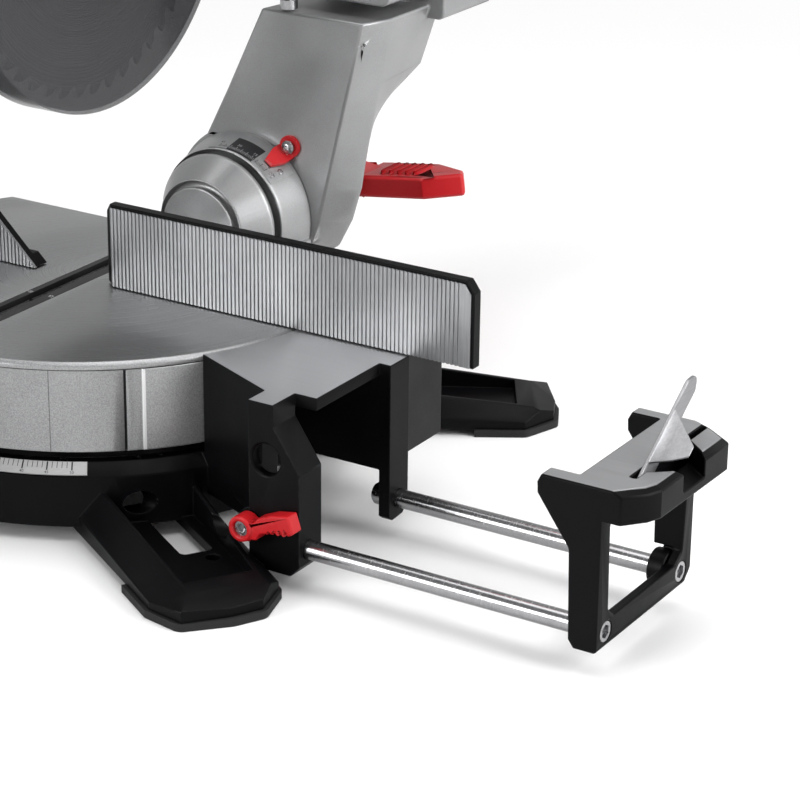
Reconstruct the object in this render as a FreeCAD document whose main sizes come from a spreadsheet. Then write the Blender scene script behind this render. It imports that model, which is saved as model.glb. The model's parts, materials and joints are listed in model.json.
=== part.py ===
import FreeCAD, Part
import math
import os

import Sketcher
from FreeCAD import Placement, Rotation, Vector

# A sliding compound mitre saw with pull-out work supports, in millimetres.
# The origin is where the turntable's pivot axis meets the bench. X runs along the fence,
# Y runs from the user towards the rails, and Z is up.

doc = FreeCAD.newDocument("mitre_saw")
sheet = doc.addObject("Spreadsheet::Sheet", "Sizes")


class Size:
    """A length or angle that knows both its number and its formula in the sheet."""

    def __init__(self, value, text):
        self.value = value
        self.text = text

    def __add__(self, other):
        return joined(self, "+", other)

    def __radd__(self, other):
        return joined(other, "+", self)

    def __sub__(self, other):
        return joined(self, "-", other)

    def __rsub__(self, other):
        return joined(other, "-", self)

    def __mul__(self, other):
        return joined(self, "*", other)

    def __rmul__(self, other):
        return joined(other, "*", self)

    def __truediv__(self, other):
        return joined(self, "/", other)

    def __neg__(self):
        return Size(-self.value, "(0 - %s)" % self.text)


def size(number):
    if isinstance(number, Size):
        return number
    return Size(float(number), "%.6f" % number)


def joined(left, sign, right):
    a = size(left)
    b = size(right)
    if sign == "+":
        value = a.value + b.value
    elif sign == "-":
        value = a.value - b.value
    elif sign == "*":
        value = a.value * b.value
    else:
        value = a.value / b.value
    return Size(value, "(%s %s %s)" % (a.text, sign, b.text))


def sine(angle):
    return Size(math.sin(math.radians(size(angle).value)), "sin(%s)" % size(angle).text)


def cosine(angle):
    return Size(math.cos(math.radians(size(angle).value)), "cos(%s)" % size(angle).text)


def root(square):
    return Size(math.sqrt(square.value), "sqrt(%s)" % square.text)


# Driving dimensions: name, value, what it is.
TABLE_OF_SIZES = (
    # table and base
    ("table_height", 117.0, "bench to the table's top face"),
    ("turntable_radius", 174.0, "top edge of the turntable"),
    ("rim_width", 2.0, "how far the turntable's bevelled rim stands out"),
    ("rim_depth", 5.0, "height of the bevelled rim"),
    ("skirt_bottom", 57.4, "lower edge of the turntable's skirt above the bench"),
    ("skirt_wall", 6.0, "thickness of the skirt"),
    ("table_plate", 8.0, "thickness of the turntable's and the wings' top"),
    ("drum_radius", 182.0, "outside of the base's drum"),
    ("drum_bottom", 10.0, "lower edge of the drum above the bench"),
    ("drum_wall", 8.0, "thickness of the drum's wall"),
    ("drum_top", 51.0, "flat top of the drum"),
    ("drum_bevel", 7.5, "sloped shoulder that carries the mitre scale"),
    ("deck_plate", 7.0, "thickness of the deck across the drum"),
    ("bearing_radius", 163.0, "middle of the ring that the turntable turns on"),
    ("bearing_width", 10.0, "width of that ring"),
    ("hub_radius", 26.0, "boss around the pivot"),
    ("table_back", 92.0, "straight rear edge of the turntable beside the bevel hub"),
    ("skirt_panel_radius", 176.2, "raised part of the skirt"),
    ("skirt_panel_start", 46.5, "angle from the nose where the raised skirt starts"),
    ("skirt_panel_span", 38.5, "angle that the raised skirt covers"),
    ("pivot_radius", 8.0, "pivot bolt"),
    ("running_gap", 0.05, "radial clearance of a turning or sliding fit"),
    ("face_gap", 0.4, "clearance between flat faces that move on each other"),
    ("wing_front", 138.0, "front face of the wings ahead of the pivot"),
    ("wing_block_inner", 218.0, "inner edge of the wing's front block"),
    ("wing_block_outer", 254.5, "right face of the wing's front block"),
    ("wing_block_depth", 24.0, "depth of the block along Y"),
    ("wing_block_top", 236.0, "right edge of the block's narrow top"),
    ("wing_slope_low", 76.0, "height where the block's slope starts"),
    ("wing_slope_high", 103.0, "height where the block's slope ends"),
    ("wing_block_bottom", 9.0, "underside of the block"),
    ("wing_skirt_bottom", 46.0, "lower edge of the wing's web"),
    ("wing_wall", 6.0, "thickness of the wing's walls"),
    ("wing_hole_radius", 9.8, "round hole in the block's front"),
    ("wing_hole_x", 230.5, "place of that hole"),
    ("wing_hole_z", 81.0, "height of that hole"),
    ("lug_outer", 259.5, "right face of the rear lug"),
    ("lug_width", 8.0, "thickness of the rear lug"),
    ("lug_bottom", 14.0, "lower tip of the rear lug"),
    ("lug_half", 11.0, "half of the lug's depth along Y"),
    ("wing_rear", 30.0, "rear edge of the wings behind the pivot"),
    # foot arms
    ("arm_turn", 32.0, "angle of a foot arm from the X axis"),
    ("foot_x", 186.7, "middle of a foot, X"),
    ("foot_y", 159.2, "middle of a foot, Y"),
    ("foot_half", 40.5, "half width of a foot arm"),
    ("toe_reach", 69.0, "from the middle of the foot to its toe"),
    ("arm_root", 92.0, "from the middle of the foot back to the drum"),
    ("pad_height", 5.0, "thickness of the rubber pad under a foot"),
    ("pad_lip", 2.0, "how far the pad shows round the foot"),
    ("edge_height", 5.5, "upright edge round the foot's outline"),
    ("ridge_toe", 19.5, "height of the foot's ridge at the toe"),
    ("ridge_root", 34.0, "height of the foot's ridge at the drum"),
    ("ridge_width", 3.0, "flat on top of the ridge"),
    ("tray_floor", 12.0, "floor inside the foot arm"),
    ("window_length", 66.0, "cut-out in the foot arm, along it"),
    ("window_width", 21.0, "cut-out in the foot arm, across it"),
    ("bench_hole_radius", 4.5, "bench screw hole"),
    ("bench_boss_radius", 8.0, "boss round the bench screw hole, beside the pad"),
    ("bench_hole_u", 1.74, "bench screw hole along the arm from the foot's middle"),
    ("bench_hole_v", 16.65, "bench screw hole across the arm from the foot's middle"),
    # fence
    ("fence_face_y", -25.0, "plane of the fence's face"),
    ("fence_inner", 22.5, "inner end of a fence half"),
    ("fence_outer", 306.0, "outer end of a fence half"),
    ("fence_height", 57.0, "fence above the table"),
    ("fence_chamfer", 7.5, "cut corner at the fence's top ends"),
    ("fence_wall", 8.0, "thickness of the fence casting"),
    ("fence_relief", 32.2, "inner end of the fence at its face, clear of the turned blade"),
    ("fence_rim", 2.2, "dark rim above the ribbed face"),
    ("face_plate", 2.5, "thickness of the ribbed face plate"),
    ("rib_pitch", 3.0, "spacing of the upright ribs on the face"),
    ("rib_depth", 0.8, "depth of those ribs"),
    ("fence_foot", 30.0, "depth of the fence's foot behind its face"),
    ("fence_foot_plate", 8.0, "thickness of the fence's foot"),
    ("fence_foot_inner", 150.0, "inner end of the fence's foot"),
    ("fence_bolt_first", 190.0, "first fence bolt from the pivot"),
    ("fence_bolt_second", 236.0, "second fence bolt from the pivot"),
    ("bolt_radius", 4.0, "fence bolt's shank"),
    # pull-out supports
    ("rod_radius", 6.0, "support rods"),
    ("rod_height", 25.0, "rods above the bench"),
    ("rod_front_y", -128.0, "front rod"),
    ("rod_rear_y", -33.7, "rear rod"),
    ("rod_front_inner", 222.0, "inner end of the front rod, pulled out"),
    ("rod_rear_inner", 243.0, "inner end of the rear rod, pulled out"),
    ("bracket_face", 456.0, "right face of the bracket's legs"),
    ("bracket_leg", 18.5, "leg of the bracket along X"),
    ("bracket_inner", 415.0, "inner end of the bracket's top"),
    ("bracket_outer", 482.5, "outer edge of the bracket's top bar"),
    ("bracket_front", -139.4, "front face of the bracket"),
    ("bracket_rear", -20.5, "rear face of the bracket"),
    ("bracket_bar", 20.0, "height of the top bar"),
    ("bracket_bottom", 15.0, "underside of the bracket"),
    ("bracket_front_leg", 12.0, "front leg along Y"),
    ("bracket_rear_leg", 10.0, "rear leg along Y"),
    ("bracket_sill", 17.0, "height of the lower bar"),
    ("bar_chamfer", 15.0, "cut corners of the top bar"),
    ("bar_slope_height", 3.0, "height of the slope along the top bar's outer edges"),
    ("rear_leg_depth", 14.0, "rear leg along X"),
    ("sill_wall", 6.0, "thickness of the bracket's lower bar"),
    ("rod_boss_radius", 11.5, "boss round a rod's end"),
    ("stop_pin_y", -104.0, "hinge pin of the work stop"),
    ("stop_pin_z", 110.0, "height of that pin"),
    ("stop_lean", 35.0, "angle of the raised stop above the table"),
    ("stop_length", 78.0, "from the pin to the stop's tip"),
    ("stop_width", 13.0, "width of the stop's tab"),
    ("stop_sheet", 2.0, "thickness of the stop"),
    ("stop_face", 460.5, "face of the stop that the work meets"),
    ("stop_slot", 4.0, "width of the slot that the stop folds into"),
    # clamp levers
    ("clamp_x", 219.5, "clamp lever's screw"),
    ("clamp_z", 37.5, "height of that screw"),
    ("clamp_boss_radius", 8.2, "boss of the clamp lever"),
    ("clamp_boss_length", 13.0, "boss of the clamp lever along its screw"),
    ("clamp_lift", 18.0, "angle of the clamp lever above level"),
    ("clamp_reach", 37.0, "from the screw to the lever's tip"),
    # bevel hub, arm and rails
    ("cap_front", 115.0, "front of the bevel hub's domed cap behind the pivot"),
    ("cap_radius", 33.0, "flat cap of the hub"),
    ("flare_radius", 49.0, "hub where the flare ends"),
    ("flare_length", 25.0, "length of the flare"),
    ("band_radius", 57.5, "rear edge of the band with the bevel scale"),
    ("hub_back", 172.0, "face where the tilting arm meets the hub"),
    ("bevel_shaft_radius", 14.0, "shaft that the arm tilts on"),
    ("arm_hub_radius", 60.0, "round foot of the tilting arm"),
    ("arm_hub_length", 60.0, "length of that foot along Y"),
    ("housing_front", 262.0, "front of the rail housing"),
    ("housing_back", 350.0, "back of the rail housing"),
    ("housing_low", 262.0, "underside of the rail housing"),
    ("housing_high", 336.0, "top of the rail housing"),
    ("rail_height", 290.0, "rails above the bench"),
    ("rail_radius", 12.5, "slide rails"),
    ("rail_left", 40.0, "left rail"),
    ("rail_right", 96.0, "right rail"),
    ("rail_wall", 3.0, "wall of a rail tube"),
    ("bush_radius", 16.0, "outside of a rail bush"),
    ("bush_length", 16.0, "length of a rail bush"),
    ("rail_front", 240.0, "front end of the rails, pushed back"),
    ("rail_back", 566.0, "rear end of the rails, pushed back"),
    ("lever_front", 236.0, "front of the bevel lever's paddle"),
    ("lever_depth", 43.0, "paddle along Y"),
    ("lever_thick", 16.6, "thickness of the paddle"),
    ("lever_top", 1.8, "top of the paddle above the line from the bevel axis"),
    ("lever_root", 44.0, "from the bevel axis to the paddle"),
    ("lever_tip", 119.4, "from the bevel axis to the paddle's tip"),
    ("lever_lift", 8.0, "angle of the bevel lever above level"),
    # saw head
    ("blade_radius", 127.0, "saw blade"),
    ("blade_plate", 1.8, "thickness of the blade's plate"),
    ("blade_kerf", 2.6, "width of its teeth"),
    ("blade_teeth", 48.0, "number of teeth"),
    ("arbor_y", 0.0, "arbor behind the pivot axis, head up and back"),
    ("arbor_z", 364.0, "arbor above the bench, head up"),
    ("arbor_radius", 15.0, "arbor in the blade's bore"),
    ("chop_y", 208.0, "pivot of the head"),
    ("chop_z", 334.0, "height of that pivot"),
    ("chop_radius", 9.0, "shaft of that pivot"),
    ("knuckle_radius", 23.0, "bosses round that shaft"),
    ("guard_radius", 141.0, "outside of the fixed guard"),
    ("guard_wall", 2.5, "wall of the guards"),
    ("guard_left", -21.0, "left face of the fixed guard"),
    ("guard_right", 18.0, "right face of the fixed guard"),
    ("lower_guard_radius", 135.0, "outside of the swinging guard"),
    ("lower_guard_left", -14.0, "left face of the swinging guard"),
    ("lower_guard_right", 12.0, "right face of the swinging guard"),
    ("motor_y", 40.0, "motor axis"),
    ("motor_z", 410.0, "height of the motor axis"),
    ("motor_radius", 50.0, "motor housing"),
    ("motor_wall", 3.5, "wall of the motor housing"),
    ("motor_start", 62.0, "gear end of the motor housing"),
    ("motor_end", 205.0, "outer end of the motor housing"),
    # nose, knob and detent
    ("nose_half", 24.0, "half width of the turntable's nose"),
    ("nose_reach", 292.0, "front of the nose ahead of the pivot"),
    ("nose_bottom", 66.0, "underside of the nose at the turntable"),
    ("kerf_front", 262.0, "front end of the kerf slot"),
    ("kerf_back", 98.0, "rear end of the kerf slot"),
    ("kerf_half", 11.0, "half width of the kerf plates' recess"),
    ("kerf_gap", 3.4, "from the blade to the right kerf plate"),
    ("kerf_gap_left", 6.1, "from the blade to the left kerf plate, with room for the tilt"),
    ("kerf_plate", 4.0, "thickness of the kerf plates"),
    ("knob_radius", 23.0, "mitre lock knob"),
    ("knob_length", 40.0, "length of that knob"),
    ("knob_height", 90.0, "knob's axis above the bench"),
    ("lock_rod_radius", 5.0, "rod that the knob drives"),
    ("scale_offset", 18.0, "pointer's angle left of the nose's middle"),
    ("scale_span", 50.0, "degrees marked each side of zero"),
    ("scale_sheet", 0.8, "thickness of the scales"),
)


class Names:
    pass


D = Names()
for line, (word, number, note) in enumerate(TABLE_OF_SIZES, start=1):
    sheet.set("A%d" % line, word)
    sheet.set("B%d" % line, str(number))
    sheet.set("C%d" % line, note)
    sheet.setAlias("B%d" % line, word)
    setattr(D, word, Size(number, "Sizes." + word))
doc.recompute()

NODES = []
NORMAL_SIGN = {"XY": 1, "XZ": -1, "YZ": 1}
LONG_WAY = {"X": Rotation(Vector(0, 1, 0), 90), "Y": Rotation(Vector(1, 0, 0), -90), "Z": Rotation()}
BASE_OF = {"X": ("y", "z", "x"), "Y": ("x", "z", "y"), "Z": ("x", "y", "z")}


def node(thing, name):
    """Marks a finished sub-part and gives it the name of its file."""
    thing.Label = name
    NODES.append(thing)
    return thing


def bind(thing, path, length):
    thing.setExpression(path, size(length).text)


class Circle:
    def __init__(self, across, up, radius):
        self.across = size(across)
        self.up = size(up)
        self.radius = size(radius)


def pin_point(sketch, geometry, corner, across, up, bound):
    for kind, length in (("DistanceX", across), ("DistanceY", up)):
        index = sketch.addConstraint(Sketcher.Constraint(kind, -1, 1, geometry, corner, length.value))
        bound.append((index, length.text))


def draw_circle(sketch, ring, bound):
    centre = Vector(ring.across.value, ring.up.value, 0)
    index = sketch.addGeometry(Part.Circle(centre, Vector(0, 0, 1), ring.radius.value))
    bound.append((sketch.addConstraint(Sketcher.Constraint("Radius", index, ring.radius.value)),
        ring.radius.text))
    pin_point(sketch, index, 3, ring.across, ring.up, bound)


def draw_outline(sketch, outline, bound):
    """Closed outline of (across, up) corners. A third value rounds that corner."""
    corners = [tuple(size(value) for value in corner) for corner in outline]
    count = len(corners)
    places = [Vector(corner[0].value, corner[1].value, 0) for corner in corners]
    entry = []
    leave = []
    for k, corner in enumerate(corners):
        back = (places[k - 1] - places[k]).normalize()
        ahead = (places[(k + 1) % count] - places[k]).normalize()
        cut = 0.0
        if len(corner) == 3:
            cut = corner[2].value / math.tan(math.acos(max(-1.0, min(1.0, back.dot(ahead)))) / 2)
        entry.append(places[k] + back * cut)
        leave.append(places[k] + ahead * cut)
    lines = []
    for k in range(count):
        lines.append(sketch.addGeometry(Part.LineSegment(leave[k], entry[(k + 1) % count])))
    for k, corner in enumerate(corners):
        before = lines[k - 1]
        after = lines[k]
        if len(corner) == 2:
            sketch.addConstraint(Sketcher.Constraint("Coincident", before, 2, after, 1))
            pin_point(sketch, after, 1, corner[0], corner[1], bound)
            continue
        back = (places[k - 1] - places[k]).normalize()
        ahead = (places[(k + 1) % count] - places[k]).normalize()
        half = math.acos(max(-1.0, min(1.0, back.dot(ahead)))) / 2
        centre = places[k] + (back + ahead).normalize() * (corner[2].value / math.sin(half))
        middle = centre - (back + ahead).normalize() * corner[2].value
        arc = sketch.addGeometry(Part.Arc(entry[k], middle, leave[k]))
        first = 1 if (sketch.Geometry[arc].StartPoint - entry[k]).Length < 1e-6 else 2
        sketch.addConstraint(Sketcher.Constraint("Tangent", before, 2, arc, first))
        sketch.addConstraint(Sketcher.Constraint("Tangent", arc, 3 - first, after, 1))
        index = sketch.addConstraint(Sketcher.Constraint("Radius", arc, corner[2].value))
        bound.append((index, corner[2].text))
        tip = sketch.addGeometry(Part.Point(places[k]), True)
        sketch.addConstraint(Sketcher.Constraint("PointOnObject", tip, 1, before))
        sketch.addConstraint(Sketcher.Constraint("PointOnObject", tip, 1, after))
        pin_point(sketch, tip, 1, corner[0], corner[1], bound)


def fill_sketch(sketch, loops):
    bound = []
    for loop in loops:
        if isinstance(loop, Circle):
            draw_circle(sketch, loop, bound)
        else:
            draw_outline(sketch, loop, bound)
    for index, text in bound:
        sketch.setExpression("Constraints[%d]" % index, text)


def sketch_in(body, plane, offset, loops):
    origin = [part for part in body.Origin.OriginFeatures if part.Role == plane + "_Plane"][0]
    sketch = body.newObject("Sketcher::SketchObject", body.Name + "_sketch")
    sketch.AttachmentSupport = [(origin, "")]
    sketch.MapMode = "FlatFace"
    sketch.AttachmentOffset = Placement(Vector(0, 0, size(offset).value), Rotation())
    bind(sketch, "AttachmentOffset.Base.z", offset)
    fill_sketch(sketch, loops)
    return sketch


def new_body(name):
    body = doc.addObject("PartDesign::Body", name)
    body.Label = name
    return body


def pad(body, plane, low, high, *loops):
    """Adds a slab between two places along the plane's own axis."""
    sign = NORMAL_SIGN[plane]
    sketch = sketch_in(body, plane, low if sign > 0 else -size(high), loops)
    slab = body.newObject("PartDesign::Pad", body.Name + "_pad")
    slab.Profile = sketch
    bind(slab, "Length", size(high) - low)
    sketch.Visibility = False
    return slab


def pocket(body, plane, low, high, *loops):
    """Takes a slab away between two places along the plane's own axis."""
    sign = NORMAL_SIGN[plane]
    sketch = sketch_in(body, plane, high if sign > 0 else -size(low), loops)
    slab = body.newObject("PartDesign::Pocket", body.Name + "_pocket")
    slab.Profile = sketch
    bind(slab, "Length", size(high) - low)
    return slab


def turned(body, plane, start, end, loop, kind="Revolution", angle=360):
    """Turns an outline in a plane about the line from start to end in that plane."""
    sketch = sketch_in(body, plane, 0, ())
    first = Vector(size(start[0]).value, size(start[1]).value, 0)
    last = Vector(size(end[0]).value, size(end[1]).value, 0)
    axis = sketch.addGeometry(Part.LineSegment(first, last), True)
    bound = []
    pin_point(sketch, axis, 1, size(start[0]), size(start[1]), bound)
    pin_point(sketch, axis, 2, size(end[0]), size(end[1]), bound)
    draw_outline(sketch, loop, bound)
    for index, text in bound:
        sketch.setExpression("Constraints[%d]" % index, text)
    feature = body.newObject("PartDesign::" + kind, body.Name + "_" + kind.lower())
    feature.Profile = sketch
    feature.ReferenceAxis = (sketch, ["Axis0"])
    feature.Angle = 360
    if isinstance(angle, Size):
        bind(feature, "Angle", angle)
    elif angle != 360:
        feature.Angle = angle
    return feature


def place(thing, axis, first, second, along):
    thing.Placement = Placement(Vector(), LONG_WAY[axis])
    for letter, length in zip(BASE_OF[axis], (first, second, along)):
        bind(thing, "Placement.Base." + letter, length)


def rod(axis, first, second, low, high, radius):
    """Cylinder along an axis; first and second are its other two coordinates in X, Y, Z order."""
    thing = doc.addObject("Part::Cylinder", "round")
    bind(thing, "Radius", radius)
    bind(thing, "Height", size(high) - low)
    place(thing, axis, first, second, low)
    return thing


def cone(axis, first, second, low, high, start_radius, end_radius):
    thing = doc.addObject("Part::Cone", "taper")
    bind(thing, "Radius1", start_radius)
    bind(thing, "Radius2", end_radius)
    bind(thing, "Height", size(high) - low)
    place(thing, axis, first, second, low)
    return thing


def hexagon(axis, first, second, low, high, radius):
    thing = doc.addObject("Part::Prism", "hexagon")
    thing.Polygon = 6
    bind(thing, "Circumradius", radius)
    bind(thing, "Height", size(high) - low)
    place(thing, axis, first, second, low)
    return thing


def box(x_low, x_high, y_low, y_high, z_low, z_high):
    thing = doc.addObject("Part::Box", "block")
    bind(thing, "Length", size(x_high) - x_low)
    bind(thing, "Width", size(y_high) - y_low)
    bind(thing, "Height", size(z_high) - z_low)
    bind(thing, "Placement.Base.x", x_low)
    bind(thing, "Placement.Base.y", y_low)
    bind(thing, "Placement.Base.z", z_low)
    return thing


def fuse(*things):
    whole = doc.addObject("Part::MultiFuse", "joined")
    whole.Shapes = list(things)
    return whole


def cut(thing, *tools):
    left = doc.addObject("Part::Cut", "trimmed")
    left.Base = thing
    left.Tool = tools[0] if len(tools) == 1 else fuse(*tools)
    return left


def cut_each(thing, *tools):
    for tool in tools:
        thing = cut(thing, tool)
        thing.Refine = False
    return thing


def common(first, second):
    shared = doc.addObject("Part::Common", "shared")
    shared.Base = first
    shared.Tool = second
    return shared


def group(*things):
    """Several separate solids that share one node."""
    bundle = doc.addObject("Part::Compound", "bundle")
    bundle.Links = list(things)
    return bundle


def tube(axis, first, second, low, high, radius, bore):
    return cut(rod(axis, first, second, low, high, radius),
        rod(axis, first, second, size(low) - 1, size(high) + 1, bore))


def mirrored(thing, plane="YZ"):
    other = doc.addObject("Part::Mirroring", "mirrored")
    other.Source = thing
    other.Normal = Vector(1, 0, 0) if plane == "YZ" else Vector(0, 1, 0)
    return other


def settle(body, across, ahead, up, axis, angle):
    """Moves a body built round its own origin to its place, turned about one axis."""
    body.Placement = Placement(Vector(), Rotation(Vector(*axis), size(angle).value))
    bind(body, "Placement.Rotation.Angle", angle)
    for letter, length in zip("xyz", (across, ahead, up)):
        bind(body, "Placement.Base." + letter, length)
    return body


def lofted(body, plane, sections, kind="AdditiveLoft"):
    """Joins outlines at several offsets along a plane's axis with straight-sided faces."""
    sign = NORMAL_SIGN[plane]
    sketches = []
    for place_along, outline in sections:
        offset = size(place_along) if sign > 0 else -size(place_along)
        sketches.append(sketch_in(body, plane, offset, [outline]))
    feature = body.newObject("PartDesign::" + kind, body.Name + "_loft")
    feature.Profile = sketches[0]
    feature.Sections = sketches[1:]
    feature.Ruled = True
    return feature


def rectangle(low_x, high_x, low_y, high_y, corner=None):
    corners = [(low_x, low_y), (high_x, low_y), (high_x, high_y), (low_x, high_y)]
    if corner is not None:
        corners = [(x, y, corner) for x, y in corners]
    return corners


# Heights and radii that several parts share.
bearing_top = D.skirt_bottom - D.face_gap
table_under = D.table_height - D.table_plate
table_clear = D.turntable_radius + D.rim_width + 1.6
bevel_z = D.table_height - 4
fence_low = D.table_height + 1
fence_top = D.table_height + D.fence_height

# Base casting: the drum is turned about the pivot, with a deck, a hub and the ring that the
# turntable rests on.
drum = new_body("drum")
inner_wall = D.drum_radius - D.drum_wall
ring_in = D.bearing_radius - D.bearing_width / 2
ring_out = D.bearing_radius + D.bearing_width / 2
deck_low = D.drum_top - D.deck_plate
hub_low = size(30)
pivot_bore = D.pivot_radius + D.running_gap
turned(drum, "XZ", (0, 0), (0, 80), [
    (inner_wall, D.drum_bottom), (D.drum_radius, D.drum_bottom),
    (D.drum_radius, D.drum_top - D.drum_bevel),
    (D.drum_radius - D.drum_bevel, D.drum_top), (ring_out, D.drum_top), (ring_out, bearing_top),
    (ring_in, bearing_top), (ring_in, D.drum_top), (D.hub_radius, D.drum_top),
    (D.hub_radius, bearing_top),
    (pivot_bore, bearing_top), (pivot_bore, hub_low), (D.hub_radius, hub_low), (D.hub_radius, deck_low),
    (inner_wall, deck_low)])

# Ribs under the deck, from the hub to the drum's wall.
deck_ribs = []
for angle in (20, 90, 160, 200, 270, 340):
    rib = box(D.hub_radius - 4, inner_wall + 3, -2.5, 2.5, 22, deck_low + 1)
    spoke = doc.addObject("Part::Compound", "spoke")
    spoke.Links = [rib]
    spoke.Placement = Placement(Vector(), Rotation(Vector(0, 0, 1), angle))
    deck_ribs.append(spoke)

# Right wing of the base: top plate, receding front wall, rear web, and the front block and
# rear lug that hold the support rods. The left wing is its mirror image.
wing = new_body("wing")
lug_inner = D.lug_outer - D.lug_width
block_back = D.wing_block_depth - D.wing_front
wall_run = (D.wing_block_inner - 153) * 0.4407
front_wall_x = D.wing_block_inner - 98
front_wall_y = -92 + (153 - front_wall_x) * 0.4407
front_wall_end = -92 - wall_run
web_front = D.rod_rear_y - D.lug_half
pad(wing, "XY", table_under, D.table_height, [
    (front_wall_x, front_wall_y), (D.wing_block_inner, front_wall_end),
    (D.wing_block_top, front_wall_end),
    (D.wing_block_top, block_back - 0.6), (lug_inner, block_back - 0.6), (lug_inner, D.wing_rear),
    (front_wall_x, D.wing_rear)])
pad(wing, "XY", 25, table_under, [
    (front_wall_x, front_wall_y), (D.wing_block_inner + 1, front_wall_end - 0.44),
    (D.wing_block_inner + 1, front_wall_end + D.wing_wall), (front_wall_x, front_wall_y + D.wing_wall)])
for low_x, high_x, low_y, high_y in (
        (150, lug_inner, web_front, web_front + D.wing_wall),
        (lug_inner - D.wing_wall, lug_inner, web_front, D.wing_rear),
        (front_wall_x, lug_inner, D.wing_rear - D.wing_wall, D.wing_rear)):
    pad(wing, "XY", D.wing_skirt_bottom, table_under, rectangle(low_x, high_x, low_y, high_y))
pad(wing, "XZ", -D.wing_front, block_back, [
    (D.wing_block_inner, D.table_height), (D.wing_block_inner, D.wing_block_bottom),
    (D.wing_block_outer - 6.5, D.wing_block_bottom), (D.wing_block_outer, D.wing_block_bottom + 7),
    (D.wing_block_outer, D.wing_slope_low), (D.wing_block_top, D.wing_slope_high),
    (D.wing_block_top, D.table_height)])
pocket(wing, "XZ", D.wing_wall - D.wing_front, block_back, [
    (D.wing_block_inner + 5, D.table_height - 10), (D.wing_block_inner + 5, 52),
    (D.wing_block_outer - 5, 52), (D.wing_block_outer - 5, D.wing_slope_low - 2),
    (D.wing_block_top - 5, D.wing_slope_high - 2), (D.wing_block_top - 5, D.table_height - 10)])
pocket(wing, "XZ", -D.wing_front, D.wing_wall + 1 - D.wing_front,
       Circle(D.wing_hole_x, D.wing_hole_z, D.wing_hole_radius))
lug_low = D.lug_bottom
pad(wing, "YZ", lug_inner, D.lug_outer, [
    (web_front, D.table_height), (web_front, lug_low + 1), (web_front + 4, lug_low - 2),
    (web_front + 16, lug_low - 1), (web_front + 2 * D.lug_half, lug_low + 5),
    (web_front + 2 * D.lug_half, D.table_height)])

rim_wall = cut(
    common(rod("Z", 0, 0, 38, D.table_height, table_clear + D.wing_wall),
           box(140, 200, front_wall_y - 9, D.wing_rear, 30, 130)),
    rod("Z", 0, 0, 30, 130, table_clear))
clamp_boss = rod("Y", D.clamp_x, D.clamp_z, -D.wing_front + 1, block_back, D.clamp_boss_radius + 1.5)
right_wing = fuse(wing, rim_wall, clamp_boss)

# One foot arm, built along its own axis and turned into place. Its sides and ridge taper
# towards the toe, and the tray inside has a window and a bench screw hole.
arm = new_body("foot_arm")
half = D.foot_half
root_u = -D.arm_root
far_u = size(75)
edge_low = D.pad_height


def arm_section(low_edge, ridge, inset):
    return [
        (-half - 0.5, edge_low), (half + 0.5, edge_low), (half + 0.5, low_edge),
        (half - inset * 0.6, ridge), (-half + inset, ridge), (-half - 0.5, low_edge)]


edge_top = D.pad_height + D.edge_height
fall = D.ridge_root - D.ridge_toe
root_inset = size(12)
toe_inset = size(21)
lofted(arm, "YZ", [
    (root_u, arm_section(edge_top + 6, D.ridge_root + fall * 0.1, root_inset)),
    (far_u, arm_section(edge_top - 2.2, D.ridge_toe - fall * 0.35, toe_inset))])


def tray_section(inset):
    return [
        (half - inset * 0.6 - D.ridge_width, D.tray_floor), (half - inset * 0.6 - D.ridge_width, 60),
        (-half + inset + D.ridge_width, 60), (-half + inset + D.ridge_width, D.tray_floor)]


lofted(arm, "YZ", [(root_u - 1, tray_section(root_inset)),
    (D.toe_reach - 28, tray_section(toe_inset - 2))],
       "SubtractiveLoft")
toe = D.toe_reach
pocket(arm, "XY", 0, 80, [
    (root_u - 2, -half - 20), (root_u - 2, -half), (toe - 29, -half + 0.5), (toe - 4, -half + 10.6),
    (toe, 1), (toe - 2, half - 19), (toe - 22.5, half), (root_u - 2, half), (root_u - 2, half + 20),
    (toe + 40, half + 20), (toe + 40, -half - 20)])
pocket(arm, "XZ", -half - 5, half + 5, [
    (toe + 20, 7.5), (toe + 1, edge_top), (toe - 24, D.ridge_toe + 0.6), (toe - 44, 60), (toe + 20, 60)])
window_end = size(-9)
pocket(arm, "XY", 0, D.tray_floor, rectangle(
    window_end - D.window_length, window_end, 0.5, D.window_width + 0.5, 4))
pad(arm, "XY", 0, D.pad_height + 1, Circle(D.bench_hole_u, D.bench_hole_v, D.bench_boss_radius))
pocket(arm, "XY", 0, D.tray_floor, Circle(D.bench_hole_u, D.bench_hole_v, D.bench_hole_radius))
settle(arm, D.foot_x, -D.foot_y, 0, (0, 0, -1), D.arm_turn)

# Walls and openings that go through the whole base.
cutters = [rod("Z", 0, 0, D.drum_top, 130, table_clear)]
for y in (D.rod_front_y, D.rod_rear_y):
    cutters.append(rod("X", y, D.rod_height, -228, 228, D.rod_radius + 1.5))
    cutters.append(rod("X", y, D.rod_height, -270, 270, D.rod_radius + D.running_gap))
for side in (-1, 1):
    cutters.append(rod("Y", side * D.clamp_x, D.clamp_z, -145, block_back - 6, 3 + D.running_gap))
    cutters.append(cone("Y", side * D.wing_hole_x, D.wing_hole_z, -D.wing_front, 1.2 - D.wing_front,
                        D.wing_hole_radius + 1.2, D.wing_hole_radius))
    for x in (D.fence_bolt_first, D.fence_bolt_second):
        cutters.append(rod("Z", side * x, D.fence_face_y + 20, 95, 130, D.bolt_radius + D.running_gap))
cutters.append(box(-200, 200, -62, 62, 0, 31))
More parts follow.
